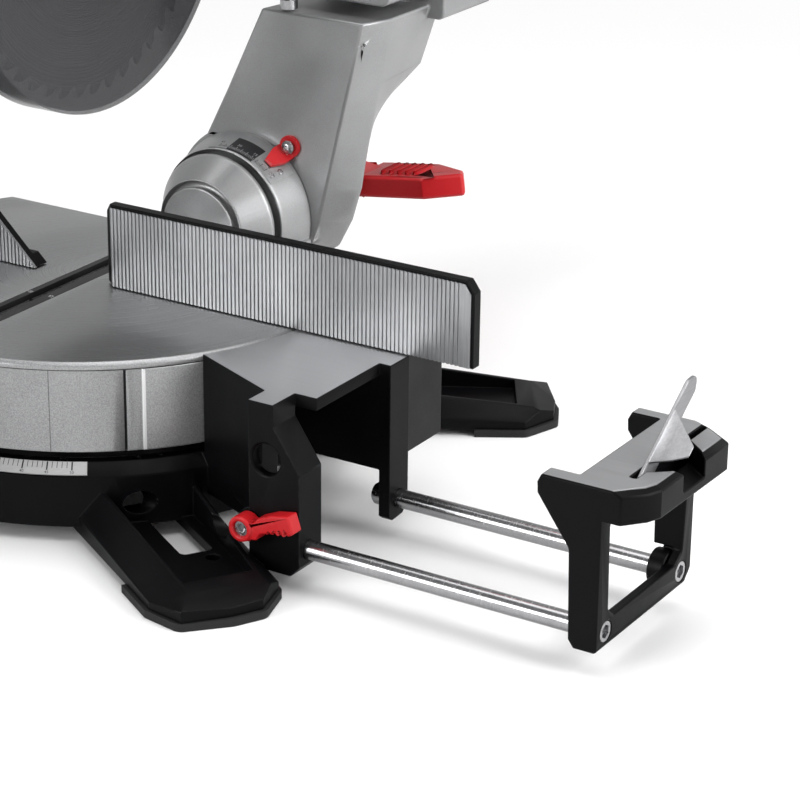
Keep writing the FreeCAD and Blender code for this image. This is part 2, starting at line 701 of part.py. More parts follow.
# The trimmed side openings must not reach the hub and its ribs.
side_cut = cut(cutters.pop(), box(-168, 168, -70, 70, -5, 40))
cutters.append(side_cut)
detents = (-50, -45, -30, -22.5, -15, 0, 15, 22.5, 30, 45, 50)
detent_radius = D.turntable_radius - 2.9
for angle in detents:
    cutters.append(rod("Z", detent_radius * math.sin(math.radians(angle)),
                       -detent_radius * math.cos(math.radians(angle)), D.drum_top - 4, D.drum_top + 2,
                       2.4))

drum_parts = [cut(fuse(drum, *deck_ribs), rod("Z", 0, 0, 20, 70, pivot_bore))]
arms = [arm, mirrored(arm), mirrored(arm, "XZ"), mirrored(mirrored(arm, "XZ"))]
# Room for the scale and its pointer under the left wing's front wall.
pointer_room = new_body("pointer_room")
turned(pointer_room, "XZ", (0, 0), (0, 80), [
    (D.drum_radius - D.drum_bevel, D.drum_top + 0.1), (D.drum_radius + 0.1, D.drum_top - D.drum_bevel),
    (D.drum_radius + 5, D.drum_top - D.drum_bevel), (D.drum_radius + 5, 84),
    (D.drum_radius - D.drum_bevel, 84)],
    angle=2 * D.scale_span + 14)
pointer_room.Tip.Midplane = True
settle(pointer_room, 0, 0, 0, (0, 0, -1), 90 + D.scale_offset)
wings = cut(fuse(right_wing, mirrored(right_wing)), cutters[0], pointer_room)
base_casting = node(cut(fuse(*drum_parts, wings, *arms), *cutters[1:]), "base_casting")

# Rubber pads under the four feet.
pad_body = new_body("pad")
lip = D.pad_lip
pad(pad_body, "XY", 0, D.pad_height, [
    (1, -half - lip), (toe - 30, -half - lip, 6), (toe - 3.5, -half + 8.5, 8), (toe + lip + 0.8, 1, 12),
    (toe + lip - 1, half - 18, 8), (toe - 21.5, half + lip, 8),
    (D.bench_hole_u + D.bench_boss_radius + 2, half + lip),
    (D.bench_hole_u + D.bench_boss_radius + 2, D.bench_hole_v - D.bench_boss_radius - 3),
    (1, D.bench_hole_v - D.bench_boss_radius - 3)])
settle(pad_body, D.foot_x, -D.foot_y, 0, (0, 0, -1), D.arm_turn)
foot_pads = node(group(pad_body, mirrored(pad_body), mirrored(pad_body, "XZ"),
                       mirrored(mirrored(pad_body, "XZ"))), "foot_pads")

# Mitre scale: a thin plate that follows the drum's sloped shoulder.
scale = new_body("scale_plate")
lay = 0.05
slope_r = D.drum_radius
slope_z = D.drum_top - D.drum_bevel
turned(scale, "XZ", (0, 0), (0, 80), [
    (slope_r - 0.9 + lay, slope_z + 0.9 + lay),
    (slope_r - 0.9 + D.scale_sheet, slope_z + 0.9 + D.scale_sheet),
    (slope_r - D.drum_bevel + 0.3 + D.scale_sheet, D.drum_top - 0.3 + D.scale_sheet),
    (slope_r - D.drum_bevel + 0.3 + lay, D.drum_top - 0.3 + lay)], angle=2 * D.scale_span + 6)
scale.Tip.Midplane = True
settle(scale, 0, 0, 0, (0, 0, -1), 90 + D.scale_offset)
mitre_scale = node(scale, "mitre_scale")

# Pivot bolt, screwed up into the turntable's hub from under the base.
pivot_bolt = node(fuse(
    rod("Z", 0, 0, hub_low - 2.5, 92, D.pivot_radius), rod("Z", 0, 0, hub_low - 2.5, hub_low, 17),
    hexagon("Z", 0, 0, hub_low - 11, hub_low - 2, 13)), "pivot_bolt")

# Fence halves: a casting with a recessed face, a foot on the wing and gussets behind.
back_y = D.fence_face_y + D.fence_wall


def fence_outline(inset, low):
    corner = D.fence_chamfer
    return [
        (D.fence_inner + inset, low), (D.fence_inner + inset, fence_top - corner - inset * 0.4),
        (D.fence_inner + corner + inset * 0.4, fence_top - inset),
        (D.fence_outer - corner + 2 - inset * 0.4, fence_top - inset),
        (D.fence_outer - inset, fence_top - corner - inset * 0.4), (D.fence_outer - inset, low)]


fence = new_body("fence")
pad(fence, "XZ", D.fence_face_y, back_y, fence_outline(0, fence_low))
pocket(fence, "XZ", D.fence_face_y, D.fence_face_y + D.face_plate,
    fence_outline(D.fence_rim, fence_low - 3))
pad(fence, "XZ", back_y, back_y + 6, rectangle(D.fence_inner + 4, D.fence_outer - 6, fence_low,
    fence_low + 7))
foot_outer = lug_inner - 1
pad(fence, "XY", D.table_height, D.table_height + D.fence_foot_plate, rectangle(
    D.turntable_radius + 6, foot_outer, back_y - 1, D.fence_face_y + D.fence_foot, 3))
for x in ((D.fence_bolt_first + D.fence_bolt_second) / 2, D.fence_bolt_second + 12):
    pad(fence, "YZ", x - 3, x + 3, [
        (back_y - 1, D.table_height + 4), (D.fence_face_y + D.fence_foot - 2, D.table_height + 4),
        (D.fence_face_y + D.fence_foot - 6, D.table_height + 12), (back_y + 2, fence_top - 12),
        (back_y - 1, fence_top - 12)])
fence_holes = [rod("Z", x, D.fence_face_y + 20, 100, 150, D.bolt_radius + D.running_gap)
               for x in (D.fence_bolt_first, D.fence_bolt_second)]
fence_half = cut(fence, *fence_holes)

face = new_body("fence_face")
pad(face, "XZ", D.fence_face_y, D.fence_face_y + D.face_plate,
    fence_outline(D.fence_rim + 0.15, fence_low))
doc.recompute()
groove_count = int((D.fence_outer.value - D.fence_inner.value - 12) / D.rib_pitch.value)
grooves = []
for step in range(groove_count):
    groove_x = D.fence_inner + 5 + step * D.rib_pitch
    grooves.append(box(groove_x, groove_x + D.rib_pitch / 2, D.fence_face_y - 1,
        D.fence_face_y + D.rib_depth,
                       fence_low - 1, fence_top))
ribbed = cut(face, *grooves)

# The left half is cut back at its inner end so that the tilted blade passes.
tilt_room = new_body("tilt_room")
pad(tilt_room, "XZ", -60, 60, [
    (-D.fence_inner + 1, 90), (-D.fence_inner + 1, fence_top + 10),
    (-D.fence_inner - D.fence_height - 24, fence_top + 10), (-D.fence_inner + 4, 104)])
# At 50 degrees of mitre the blade crosses the fence, so its inner ends follow that line.
turn_slope = math.tan(math.radians(D.scale_span.value))
turn_room = new_body("turn_room")
pad(turn_room, "XY", 90, fence_top + 10, [
    (D.fence_relief + 35 * turn_slope, D.fence_face_y - 35),
    (D.fence_relief - 35 * turn_slope, D.fence_face_y + 35),
    (D.fence_relief - 35 * turn_slope - 20, D.fence_face_y + 35),
    (D.fence_relief - 35 * turn_slope - 20, D.fence_face_y - 35)])
fence_half = cut(fence_half, turn_room)
ribbed = cut(ribbed, turn_room)
fence_right = node(fence_half, "fence_right")
fence_left = node(cut(mirrored(fence_half), tilt_room), "fence_left")
fence_face_right = node(ribbed, "fence_face_right")
fence_face_left = node(cut(mirrored(ribbed), tilt_room), "fence_face_left")

bolts = []
for side in (-1, 1):
    for x in (D.fence_bolt_first, D.fence_bolt_second):
        y = D.fence_face_y + 20
        foot_top = D.table_height + D.fence_foot_plate
        bolts.append(fuse(
            rod("Z", side * x, y, table_under - 6, foot_top + 1, D.bolt_radius),
            rod("Z", side * x, y, foot_top, foot_top + 1.5, 8.5),
            cut(rod("Z", side * x, y, foot_top + 1, foot_top + 8, 6.5),
                hexagon("Z", side * x, y, foot_top + 4, foot_top + 9, 3.5))))
fence_bolts = node(group(*bolts), "fence_bolts")

# Turntable: disc with a bevelled rim and a skirt, ribbed underneath, with the long nose.
table = new_body("table")
skirt_in = D.turntable_radius + 1 - D.skirt_wall
slot_floor = D.table_height - 17
turned(table, "XZ", (0, 0), (0, 80), [
    (0, D.table_height), (0, slot_floor - 5), (pivot_bore, slot_floor - 5), (pivot_bore, D.skirt_bottom),
    (D.hub_radius, D.skirt_bottom), (D.hub_radius, table_under), (D.bearing_radius - 3, table_under),
    (D.bearing_radius - 3, D.skirt_bottom), (D.bearing_radius + 3, D.skirt_bottom),
    (D.bearing_radius + 3, table_under), (skirt_in, table_under), (skirt_in, D.skirt_bottom),
    (D.turntable_radius + 1, D.skirt_bottom),
    (D.turntable_radius + 1, D.table_height - D.rim_depth - 0.5),
    (D.turntable_radius + D.rim_width, D.table_height - D.rim_depth),
    (D.turntable_radius + D.rim_width, D.table_height - 2.5),
    (D.turntable_radius + 0.3, D.table_height - 0.4),
    (D.turntable_radius - 0.6, D.table_height)])
nose_tip = -D.nose_reach
pad(table, "XY", D.nose_bottom, D.table_height, [
    (-D.nose_half, -D.turntable_radius + 8), (-D.nose_half, nose_tip + 24),
    (-D.nose_half + 7, nose_tip, 6),
    (D.nose_half - 7, nose_tip, 6), (D.nose_half, nose_tip + 24), (D.nose_half, -D.turntable_radius + 8)])
table_ribs = []
for angle in (30, 60, 90, 120, 150, 210, 240, 270, 300, 330):
    rib = box(-2, 2, D.hub_radius - 6, D.bearing_radius - 1, D.skirt_bottom + 4, table_under + 1)
    spoke = doc.addObject("Part::Compound", "spoke")
    spoke.Links = [rib]
    spoke.Placement = Placement(Vector(), Rotation(Vector(0, 0, 1), angle))
    table_ribs.append(spoke)
for side in (-1, 1):
    low = side * 16 - 2
    table_ribs.append(box(low, low + 4, -D.turntable_radius + 4, D.cap_front + 2, D.skirt_bottom + 12,
        table_under + 1))
    table_ribs.append(box(side * 17.5 - 2.5, side * 17.5 + 2.5, -D.nose_reach + 50, -D.nose_reach + 62,
                          53, D.nose_bottom + 6))
hub_room = D.band_radius + 0.9
rod_bore = D.lock_rod_radius + D.running_gap
for side in (-1, 1):
    low = -skirt_in + 26 if side < 0 else hub_room - 1
    high = -hub_room + 1 if side < 0 else skirt_in - 26
    table_ribs.append(box(low, high, D.table_back - 6, D.table_back, D.skirt_bottom, table_under + 1))
    panel = new_body("skirt_panel")
    panel_top = D.table_height - D.rim_depth - 0.5
    turned(panel, "XZ", (0, 0), (0, 80), [
        (D.turntable_radius, D.skirt_bottom), (D.skirt_panel_radius - 0.4, D.skirt_bottom),
        (D.skirt_panel_radius, D.skirt_bottom + 1), (D.skirt_panel_radius, panel_top),
        (D.turntable_radius, panel_top)], angle=D.skirt_panel_span)
    panel.Tip.Midplane = True
    settle(panel, 0, 0, 0, (0, 0, -1), 90 - side * (D.skirt_panel_start + D.skirt_panel_span / 2))
    table_ribs.append(panel)
table_cuts = [
    box(-D.nose_half + 5, D.nose_half - 5, nose_tip + 7, -D.turntable_radius + 2, 40, table_under),
    box(-D.kerf_half, D.kerf_half, -D.kerf_front, D.kerf_back, D.table_height - D.kerf_plate, 130),
    box(-D.kerf_half + 2.5, D.kerf_half - 2.5, -D.kerf_front + 5, D.kerf_back - 5, slot_floor, 130),
    box(-hub_room, hub_room, D.cap_front, 200, 40, 130),
    box(hub_room - 2, 200, D.table_back, 200, 40, 130),
    box(-200, 2 - hub_room, D.table_back, 200, 40, 130),
    rod("Y", 0, D.knob_height, nose_tip - 5, -D.turntable_radius - 20, rod_bore),
    rod("X", -D.nose_reach + 56, 55.6, -20, 20, 2.05)]
skirt_marks = [(angle, box(-0.6, 0.6, -D.turntable_radius - 3, -D.turntable_radius - 0.2, 40,
    D.table_height - 7))
               for angle in (-43, 43)]
skirt_marks.append((-D.scale_offset.value,
    rod("Y", 0, 70, -D.turntable_radius - 9, -D.turntable_radius + 5, 2)))
for angle, mark in skirt_marks:
    spoke = doc.addObject("Part::Compound", "spoke")
    spoke.Links = [mark]
    spoke.Placement = Placement(Vector(), Rotation(Vector(0, 0, 1), angle))
    table_cuts.append(spoke)
screw_places = []
for side in (-1, 1):
    for y in (-D.kerf_front + 14, size(-178), size(-60), D.kerf_back - 14):
        screw_places.append((side * (D.kerf_half - 2.55), y))
for x, y in screw_places:
    table_cuts.append(rod("Z", x, y, D.table_height - 12, 130, 1.35))
turntable = cut_each(fuse(cut(table, table_cuts[0]), *table_ribs), *table_cuts[1:])

# Kerf plates either side of the blade, each held by four small screws.
plate_low = D.table_height - D.kerf_plate
for side, name in ((-1, "kerf_plate_left"), (1, "kerf_plate_right")):
    plate = new_body("kerf_plate")
    inner = D.kerf_gap if side > 0 else D.kerf_gap_left
    outer = D.kerf_half - 0.2
    pad(plate, "XY", plate_low, D.table_height - 0.1, rectangle(
        side * inner if side > 0 else -outer, outer if side > 0 else -inner,
        -D.kerf_front + 0.3, D.kerf_back - 0.3))
    holes = []
    for x, y in screw_places:
        if x.value * side > 0:
            holes.append(rod("Z", x, y, plate_low - 1, D.table_height + 1, 1.35))
            holes.append(cone("Z", x, y, D.table_height - 1.4, D.table_height, 1.3, 2.1))
    node(cut(plate, *holes), name)

# Pointer for the mitre scale, on the skirt, with the tongue bent out over the scale.
pointer = new_body("pointer")
skirt_r = D.turntable_radius + 1
pad(pointer, "XZ", -7, 7, [
    (skirt_r + 0.1, 78), (skirt_r + 0.1, D.drum_top + 5.5), (slope_r - 0.6, D.drum_top - 1.8),
    (slope_r + 0.9, D.drum_top - 0.4), (skirt_r + 2.1, D.drum_top + 6.8), (skirt_r + 2.1, 78)])
for side in (-1, 1):
    pocket(pointer, "YZ", skirt_r - 6, skirt_r + 16, [
        (side * 12, 62), (side * 7, 62), (side * 1.2, D.drum_top - 4), (side * 12, D.drum_top - 4)])
pocket(pointer, "YZ", skirt_r - 6, skirt_r + 16, Circle(0, 70, 2.1))
settle(pointer, 0, 0, 0, (0, 0, -1), 90 + D.scale_offset)
mitre_pointer = node(pointer, "mitre_pointer")
pointer_screw = fuse(rod("X", 0, 70, skirt_r - 5, skirt_r + 2.6, 2),
    rod("X", 0, 70, skirt_r + 2.1, skirt_r + 3.7, 4))
pointer_screw_turned = doc.addObject("Part::Compound", "pointer_screw")
pointer_screw_turned.Links = [pointer_screw]
settle(pointer_screw_turned, 0, 0, 0, (0, 0, -1), 90 + D.scale_offset)

# Bevel hub at the back of the turntable: domed cap, flare and the band with the bevel scale.
hub = new_body("hub")
shaft_bore = D.bevel_shaft_radius + D.running_gap
turned(hub, "YZ", (90, bevel_z), (200, bevel_z), [
    (D.cap_front, bevel_z), (D.cap_front, bevel_z + D.cap_radius, 4),
    (D.cap_front + D.flare_length + 1.2, bevel_z + D.flare_radius + 1, 12),
    (D.hub_back, bevel_z + D.band_radius), (D.hub_back, bevel_z + shaft_bore),
    (D.hub_back - 34, bevel_z + shaft_bore), (D.hub_back - 34, bevel_z)])
hub_block = box(-D.band_radius, D.band_radius, D.cap_front, D.hub_back, D.skirt_bottom + 0.4,
    bevel_z - 12)
hub_bore = rod("Y", 0, bevel_z, D.hub_back - 34, D.hub_back + 5, shaft_bore)
hub_screws = []
for x in (-44, -24, 24, 44):
    hub_screws.append(rod("Y", x, 76, D.cap_front - 14, D.cap_front + 16, 3))
ring_room = box(-80, 80, D.cap_front - 5, 190, 0, D.skirt_bottom + 0.4)
bevel_hub = node(cut(fuse(hub, hub_block), hub_bore, *hub_screws, ring_room), "bevel_hub")
hub_flange = box(-52, 52, D.cap_front - 10, D.cap_front, 64, table_under + 1)
table_whole = cut_each(fuse(turntable, hub_flange), *hub_screws,
                       box(-D.kerf_half + 2.5, D.kerf_half - 2.5, 60, D.kerf_back - 5, slot_floor, 130))
node(table_whole, "turntable")

label = new_body("bevel_label")
label_start = D.cap_front + D.flare_length + 6
label_end = D.hub_back - 4
band_run = D.hub_back - D.cap_front - D.flare_length - 1.2
band_rise = (D.band_radius - D.flare_radius - 1) / band_run


def band_at(y, lift):
    return D.flare_radius + 1 + (y - D.cap_front - D.flare_length - 1.2) * band_rise + lift


turned(label, "YZ", (90, 0), (200, 0), [
    (label_start, band_at(label_start, 0.25)), (label_end, band_at(label_end, 0.25)),
    (label_end, band_at(label_end, 0.8)), (label_start, band_at(label_start, 0.8))], angle=66)
label.Tip.Midplane = True
settle(label, 0, 0, bevel_z, (0, 1, 0), 19)
bevel_scale = node(label, "bevel_scale")

screws = [pointer_screw_turned]
for x, y in screw_places:
    screws.append(fuse(rod("Z", x, y, D.table_height - 10, D.table_height - 0.6, 1.25),
                       cone("Z", x, y, D.table_height - 1.5, D.table_height - 0.3, 1.2, 1.95)))
for x in (-44, -24, 24, 44):
    screws.append(fuse(rod("Y", x, 76, D.cap_front - 13, D.cap_front + 15, 2.95),
                       rod("Y", x, 76, D.cap_front - 16, D.cap_front - 10, 5.5)))
screws.append(rod("X", -D.nose_reach + 56, 55.6, -17, 17, 2))
table_screws = node(group(*screws), "table_screws")

# Mitre lock: a lobed knob on a rod through the nose.
knob_back = nose_tip - 1.5
lobes = []
for step in range(8):
    angle = math.radians(45 * step)
    lobes.append(rod("Y", (D.knob_radius + 5) * math.cos(angle),
        D.knob_height + (D.knob_radius + 5) * math.sin(angle),
                     knob_back - D.knob_length - 2, knob_back - 9, 7.5))
knob = cut(fuse(
    rod("Y", 0, D.knob_height, knob_back - D.knob_length + 5, knob_back - 7, D.knob_radius),
    cone("Y", 0, D.knob_height, knob_back - D.knob_length, knob_back - D.knob_length + 5,
    D.knob_radius - 5,
         D.knob_radius),
    rod("Y", 0, D.knob_height, knob_back - 8, knob_back, D.knob_radius - 8)),
    rod("Y", 0, D.knob_height, knob_back - 22, knob_back + 1, D.lock_rod_radius), *lobes)
mitre_knob = node(knob, "mitre_knob")
lock_rod = node(fuse(
    rod("Y", 0, D.knob_height, knob_back - 22, -D.turntable_radius - 12, D.lock_rod_radius),
    cone("Y", 0, D.knob_height, -D.turntable_radius - 12, -D.turntable_radius - 6, D.lock_rod_radius,
    3)), "lock_rod")

# Detent lever under the nose; its pin drops into the holes in the drum's top.
lever = new_body("detent")
detent_y = -D.nose_reach + 56
pad(lever, "XY", 54.2, 56.8, [
    (-9, nose_tip + 4, 4), (9, nose_tip + 4, 4), (9, detent_y + 14), (6, detent_y + 22),
    (6, -detent_radius + 2.5),
    (-6, -detent_radius + 2.5), (-6, detent_y + 22), (-9, detent_y + 14)])
detent_lever = node(cut(fuse(
    lever, box(-9, 9, nose_tip - 3, nose_tip + 14, 50.5, 54.4),
    rod("X", detent_y, 55.6, -10.5, 10.5, 4.2),
    rod("Z", 0, -detent_radius, 51.4, 55, 2)), rod("X", detent_y, 55.6, -12, 12, 2.05)), "detent_lever")

# Tilting arm: a round foot against the hub, an upright that narrows towards the back, and the
# rail housing on top.
upright = new_body("upright")
arm_front = D.hub_back + D.face_gap
arm_back = D.housing_front
front_face = [
    (-56, 113), (-37, 155), (-14, 200), (16, D.housing_low), (99, D.housing_low), (88, 215),
    (78.7, 177.7),
    (69.5, 140), (62.8, 113), (56, 94), (40, 66), (-20, 58), (-50, 85)]
widest_face = [
    (-50, 113), (-32.5, 153), (-9, 200), (20, D.housing_low), (107, D.housing_low), (99, 215), (91, 177),
    (84.5, 137), (77, 112), (66, 91), (34, 69), (-18, 63), (-44, 87)]
rear_face = [
    (-32, 113), (-20, 150), (4, 200), (30, D.housing_low), (108, D.housing_low), (92, 215), (56, 176),
    (44, 139), (40, 113), (32, 94), (18, 78), (-12, 76), (-28, 92)]
widest_at = arm_front + 23.6
lofted(upright, "XZ", [(arm_front, front_face), (widest_at, widest_face), (arm_back, rear_face)])
housing = new_body("housing")
rail_mid = (D.rail_left + D.rail_right) / 2
pad(housing, "XZ", D.housing_front - 16, D.housing_back, [
    (D.rail_left - 24, D.housing_low - 10, 6), (D.rail_right + 24, D.housing_low - 10, 6),
    (D.rail_right + 24, D.housing_high - 8, 12), (D.rail_left - 24, D.housing_high - 8, 12)])
pocket(housing, "YZ", D.rail_left - 40, D.rail_right + 40, [
    (D.housing_back - 46, D.housing_low - 12), (D.housing_back + 2, D.housing_low - 12),
    (D.housing_back + 2, D.housing_low + 4)])
saddle = box(D.rail_left - 10, D.rail_right + 1, arm_front + 4, D.housing_front + 20, D.housing_low - 16,
             D.housing_low - 2)
stiffener = box(rail_mid - 12, rail_mid + 4, D.housing_front - 20, D.housing_back - 56,
    D.housing_low - 54,
                D.housing_low)
round_foot = rod("Y", 0, bevel_z, arm_front, arm_front + 22, D.arm_hub_radius)
boss = rod("Y", 0, bevel_z, arm_front, arm_back - 2, 30)
arm_cuts = [
    rod("Y", 0, bevel_z, arm_front - 5, arm_back + 5, D.bevel_shaft_radius),
    rod("X", D.housing_front + 44, D.rail_height, D.rail_right + 10, D.rail_right + 40, 4.05)]
for x in (D.rail_left, D.rail_right):
    arm_cuts.append(rod("Y", x, D.rail_height, D.housing_front - 30, D.housing_back + 10,
        D.rail_radius + 1))
    for low in (D.housing_front - 16, D.housing_back - D.bush_length):
        arm_cuts.append(rod("Y", x, D.rail_height, low, low + D.bush_length, D.bush_radius))
flag_hole = doc.addObject("Part::Compound", "flag_hole")
flag_hole.Links = [rod("Y", 0, D.band_radius + 9, arm_front - 1, arm_front + 9, 2)]
settle(flag_hole, 0, 0, bevel_z, (0, 1, 0), 37)
arm_cuts.append(flag_hole)
tilt_arm = node(cut(fuse(upright, housing, saddle, stiffener, round_foot, boss), *arm_cuts), "tilt_arm")

bushes = []
for x in (D.rail_left, D.rail_right):
    for low in (D.housing_front - 16, D.housing_back - D.bush_length):
        bushes.append(tube("Y", x, D.rail_height, low, low + D.bush_length, D.bush_radius,
                           D.rail_radius + D.running_gap))
rail_bushes = node(group(*bushes), "rail_bushes")

# Red pointer over the bevel scale, and the bolt that clamps the arm to the hub.
flag = new_body("bevel_flag")
flag_r = D.band_radius
pad(flag, "XZ", arm_front - 2.4, arm_front, Circle(0, flag_r + 9, 8))
pad(flag, "YZ", -7, 7, [
    (arm_front, flag_r + 2.4), (arm_front, flag_r + 9), (arm_front - 2.4, flag_r + 9),
    (arm_front - 2.4, flag_r + 5), (label_end - 14, flag_r - 0.4), (label_end - 14.5, flag_r - 2.6),
    (label_end - 11, flag_r - 2.2), (arm_front - 2, flag_r + 2.4)])
for side in (-1, 1):
    pocket(flag, "XY", flag_r - 5, flag_r + 20, [
        (side * 12, label_end - 4), (side * 7.2, label_end - 4), (side * 1.4, label_end - 20),
        (side * 12, label_end - 20)])
settle(flag, 0, 0, bevel_z, (0, 1, 0), 37)
flag_post = doc.addObject("Part::Compound", "flag_screw")
flag_post.Links = [fuse(rod("Y", 0, flag_r + 9, arm_front - 4, arm_front + 8, 2),
                        rod("Y", 0, flag_r + 9, arm_front - 4.9, arm_front - 2.4, 4.4))]
settle(flag_post, 0, 0, bevel_z, (0, 1, 0), 37)
bevel_pointer = node(cut(flag, flag_post), "bevel_pointer")
arm_hardware = node(group(
    fuse(rod("Y", 0, bevel_z, D.hub_back - 30, arm_back + 2, D.bevel_shaft_radius),
         rod("Y", 0, bevel_z, arm_back, arm_back + 42, 8)), flag_post), "arm_hardware")

# Bevel lock lever: hub on the clamp bolt, and the long red paddle to the right.
paddle = new_body("paddle")
paddle_back = D.lever_front + 72
paddle_front = paddle_back - D.lever_depth
paddle_low = D.lever_top - D.lever_thick
pad(paddle, "XY", paddle_low, D.lever_top, [
    (D.lever_root - 12, paddle_front, 3), (D.lever_tip - 27, paddle_front, 3),
    (D.lever_tip, paddle_front + D.lever_depth * 0.35, 3),
    (D.lever_tip - 7, paddle_front + D.lever_depth * 0.63, 3),
    (D.lever_tip - 35.6, paddle_back, 3), (D.lever_root - 12, paddle_back, 3)])
pad(paddle, "XZ", arm_back + 12, arm_back + 34, [
    (8, paddle_low - 1), (D.lever_root - 4, paddle_low), (D.lever_root - 4, D.lever_top),
    (8, D.lever_top + 9)])
for step in range(5):
    low = D.lever_root + 8 + step * 7
    pad(paddle, "XY", D.lever_top - 0.2, D.lever_top + 0.8, rectangle(
        low, low + 3, paddle_front + 9, paddle_back - 10))
settle(paddle, 0, 0, bevel_z, (0, -1, 0), D.lever_lift)
bevel_lever = node(cut(fuse(paddle, rod("Y", 0, bevel_z, arm_back + 6, arm_back + 40, 19)),
                       rod("Y", 0, bevel_z, arm_back, arm_back + 50, 8.05)), "bevel_lever")

# Slide lock on the housing's right side.
lock_x = D.rail_right + 24
lock_y = D.housing_front + 44
slide_lobes = [rod("X", lock_y + 19 * math.cos(math.radians(60 * k)),
    D.rail_height + 19 * math.sin(math.radians(60 * k)),
                   lock_x + 6, lock_x + 30, 5) for k in range(6)]
slide_knob = node(cut(fuse(
    rod("X", lock_y, D.rail_height, lock_x + 1, lock_x + 8, 10),
    rod("X", lock_y, D.rail_height, lock_x + 6, lock_x + 22, 16),
    rod("X", lock_y, D.rail_height, D.rail_right + D.rail_radius + 1.6, lock_x + 3, 4)), *slide_lobes),
    "slide_lock_knob")

# Rails with their rear bracket, and the carriage on their front ends.
rails = []
for x in (D.rail_left, D.rail_right):
    rails.append(tube("Y", x, D.rail_height, D.rail_front - 44, D.rail_back + 30, D.rail_radius,
                      D.rail_radius - D.rail_wall))
slide_rails = node(group(*rails), "slide_rails")
tail = new_body("tail")
tail_back = D.rail_back + 32
pad(tail, "XZ", tail_back - 16, tail_back, [
    (D.rail_left - 20, D.rail_height - 19, 10), (D.rail_right + 20, D.rail_height - 19, 10),
    (D.rail_right + 20, D.rail_height + 19, 10), (D.rail_left - 20, D.rail_height + 19, 10)])
tail_bores = [rod("Y", x, D.rail_height, tail_back - 20, tail_back - 2,
    D.rail_radius) for x in (D.rail_left, D.rail_right)]
rail_end = node(cut(tail, *tail_bores), "rail_end_bracket")

# Carriage: clamps the rails' front ends and carries the ears of the head's pivot.
carriage_front = D.chop_y - 22
carriage_back = D.chop_y + 28
carriage_body = new_body("carriage_block")
car_left = D.rail_left - 35
car_right = D.rail_right + 16
pad(carriage_body, "XZ", carriage_front, carriage_back, [
    (car_left + 12, D.rail_height - 18, 5), (car_right, D.rail_height - 18, 8),
    (car_right, D.rail_height + 17, 5), (car_left, D.rail_height + 17, 5),
    (car_left, D.rail_height - 6, 5)])
left_ear = (car_left, car_left + 12.5)
right_ear = (car_right - 18, car_right - 4)
for low, high in (left_ear, right_ear):
    pad(carriage_body, "YZ", low, high, [
        (carriage_front + 2, D.rail_height + 10), (carriage_back - 4, D.rail_height + 10),
        (D.chop_y + 21, D.chop_z + 4), (D.chop_y + 20, D.chop_z + 21, 6),
        (D.chop_y - 12, D.chop_z + 15, 6),
        (D.chop_y - 17, D.chop_z)])
chop_bore = D.chop_radius + D.running_gap
car_cuts = [rod("X", D.chop_y, D.chop_z, left_ear[0] - 2, right_ear[1] + 2, D.chop_radius),
            rod("Z", D.rail_left - 5, carriage_front - 8, D.rail_height - 30, D.rail_height + 30, 3)]
for x in (D.rail_left, D.rail_right):
    car_cuts.append(rod("Y", x, D.rail_height, D.rail_front - 44, D.rail_back, D.rail_radius))
car_cuts.append(rod("X", D.chop_y + 12, D.chop_z + 12, left_ear[0] - 30, left_ear[1] + 2, 2.55))
for back, low in ((D.chop_y - 5, D.rail_height + 13.4), (D.rail_front - 46, D.rail_height + 10)):
    car_cuts.append(box(left_ear[1], D.rail_left + 18.6, carriage_front - 2, back, low, D.chop_z + 30))
head_room = rod("X", D.chop_y, D.chop_z, left_ear[1], right_ear[0], D.knuckle_radius + 1)
stop_lug = box(D.rail_left - 13, D.rail_left + 3, carriage_front - 15, carriage_front + 4,
    D.rail_height - 14,
               D.rail_height - 2)
carriage = node(cut(fuse(carriage_body, stop_lug, rod("X", D.chop_y, D.chop_z, *left_ear, 16),
                         rod("X", D.chop_y, D.chop_z, *right_ear, 16)), head_room, *car_cuts), "carriage")

knuckle_low = left_ear[1] + 0.5
knuckle_high = D.rail_left + 18
chop_shaft = node(fuse(
    rod("X", D.chop_y, D.chop_z, left_ear[0] - 1, right_ear[1] + 1, D.chop_radius),
    rod("X", D.chop_y, D.chop_z, left_ear[0] - 4, left_ear[0], D.chop_radius + 4),
    hexagon("X", D.chop_y, D.chop_z, right_ear[1], right_ear[1] + 7, 12)), "chop_shaft")

# Return spring round the pivot shaft: one unbroken coil with a straight tail at each end.
spring_low = knuckle_high + 2.6
spring_high = right_ear[0] - 2.4
wire = 1.7
coil_radius = D.chop_radius.value + 3.6
turns = 5.0
span = spring_high.value - spring_low.value
helix = Part.makeHelix(span / turns, span, coil_radius)
start = Part.Wire([Part.makeCircle(wire, Vector(coil_radius, 0, 0),
    Vector(0, 1, span / turns / (6.2832 * coil_radius)))])
coil = Part.Wire(helix).makePipeShell([start], True, True)
tails = [Part.makeCylinder(wire, 16, Vector(coil_radius, 0, 0), Vector(0, -1, -0.04)),
         Part.makeCylinder(wire, 16, Vector(coil_radius, 0, span), Vector(0, 1, 0.04))]
spring_shape = coil.fuse(tails[0]).fuse(tails[1])
spring_shape.rotate(Vector(), Vector(0, 1, 0), 90)
spring_shape.translate(Vector(spring_low.value, D.chop_y.value, D.chop_z.value))
spring = doc.addObject("Part::Feature", "spring")
spring.Shape = spring_shape
return_spring = node(spring, "return_spring")
print("spring: %.0f turns, gap between curls %.2f mm" % (turns, span / turns - 2 * wire))

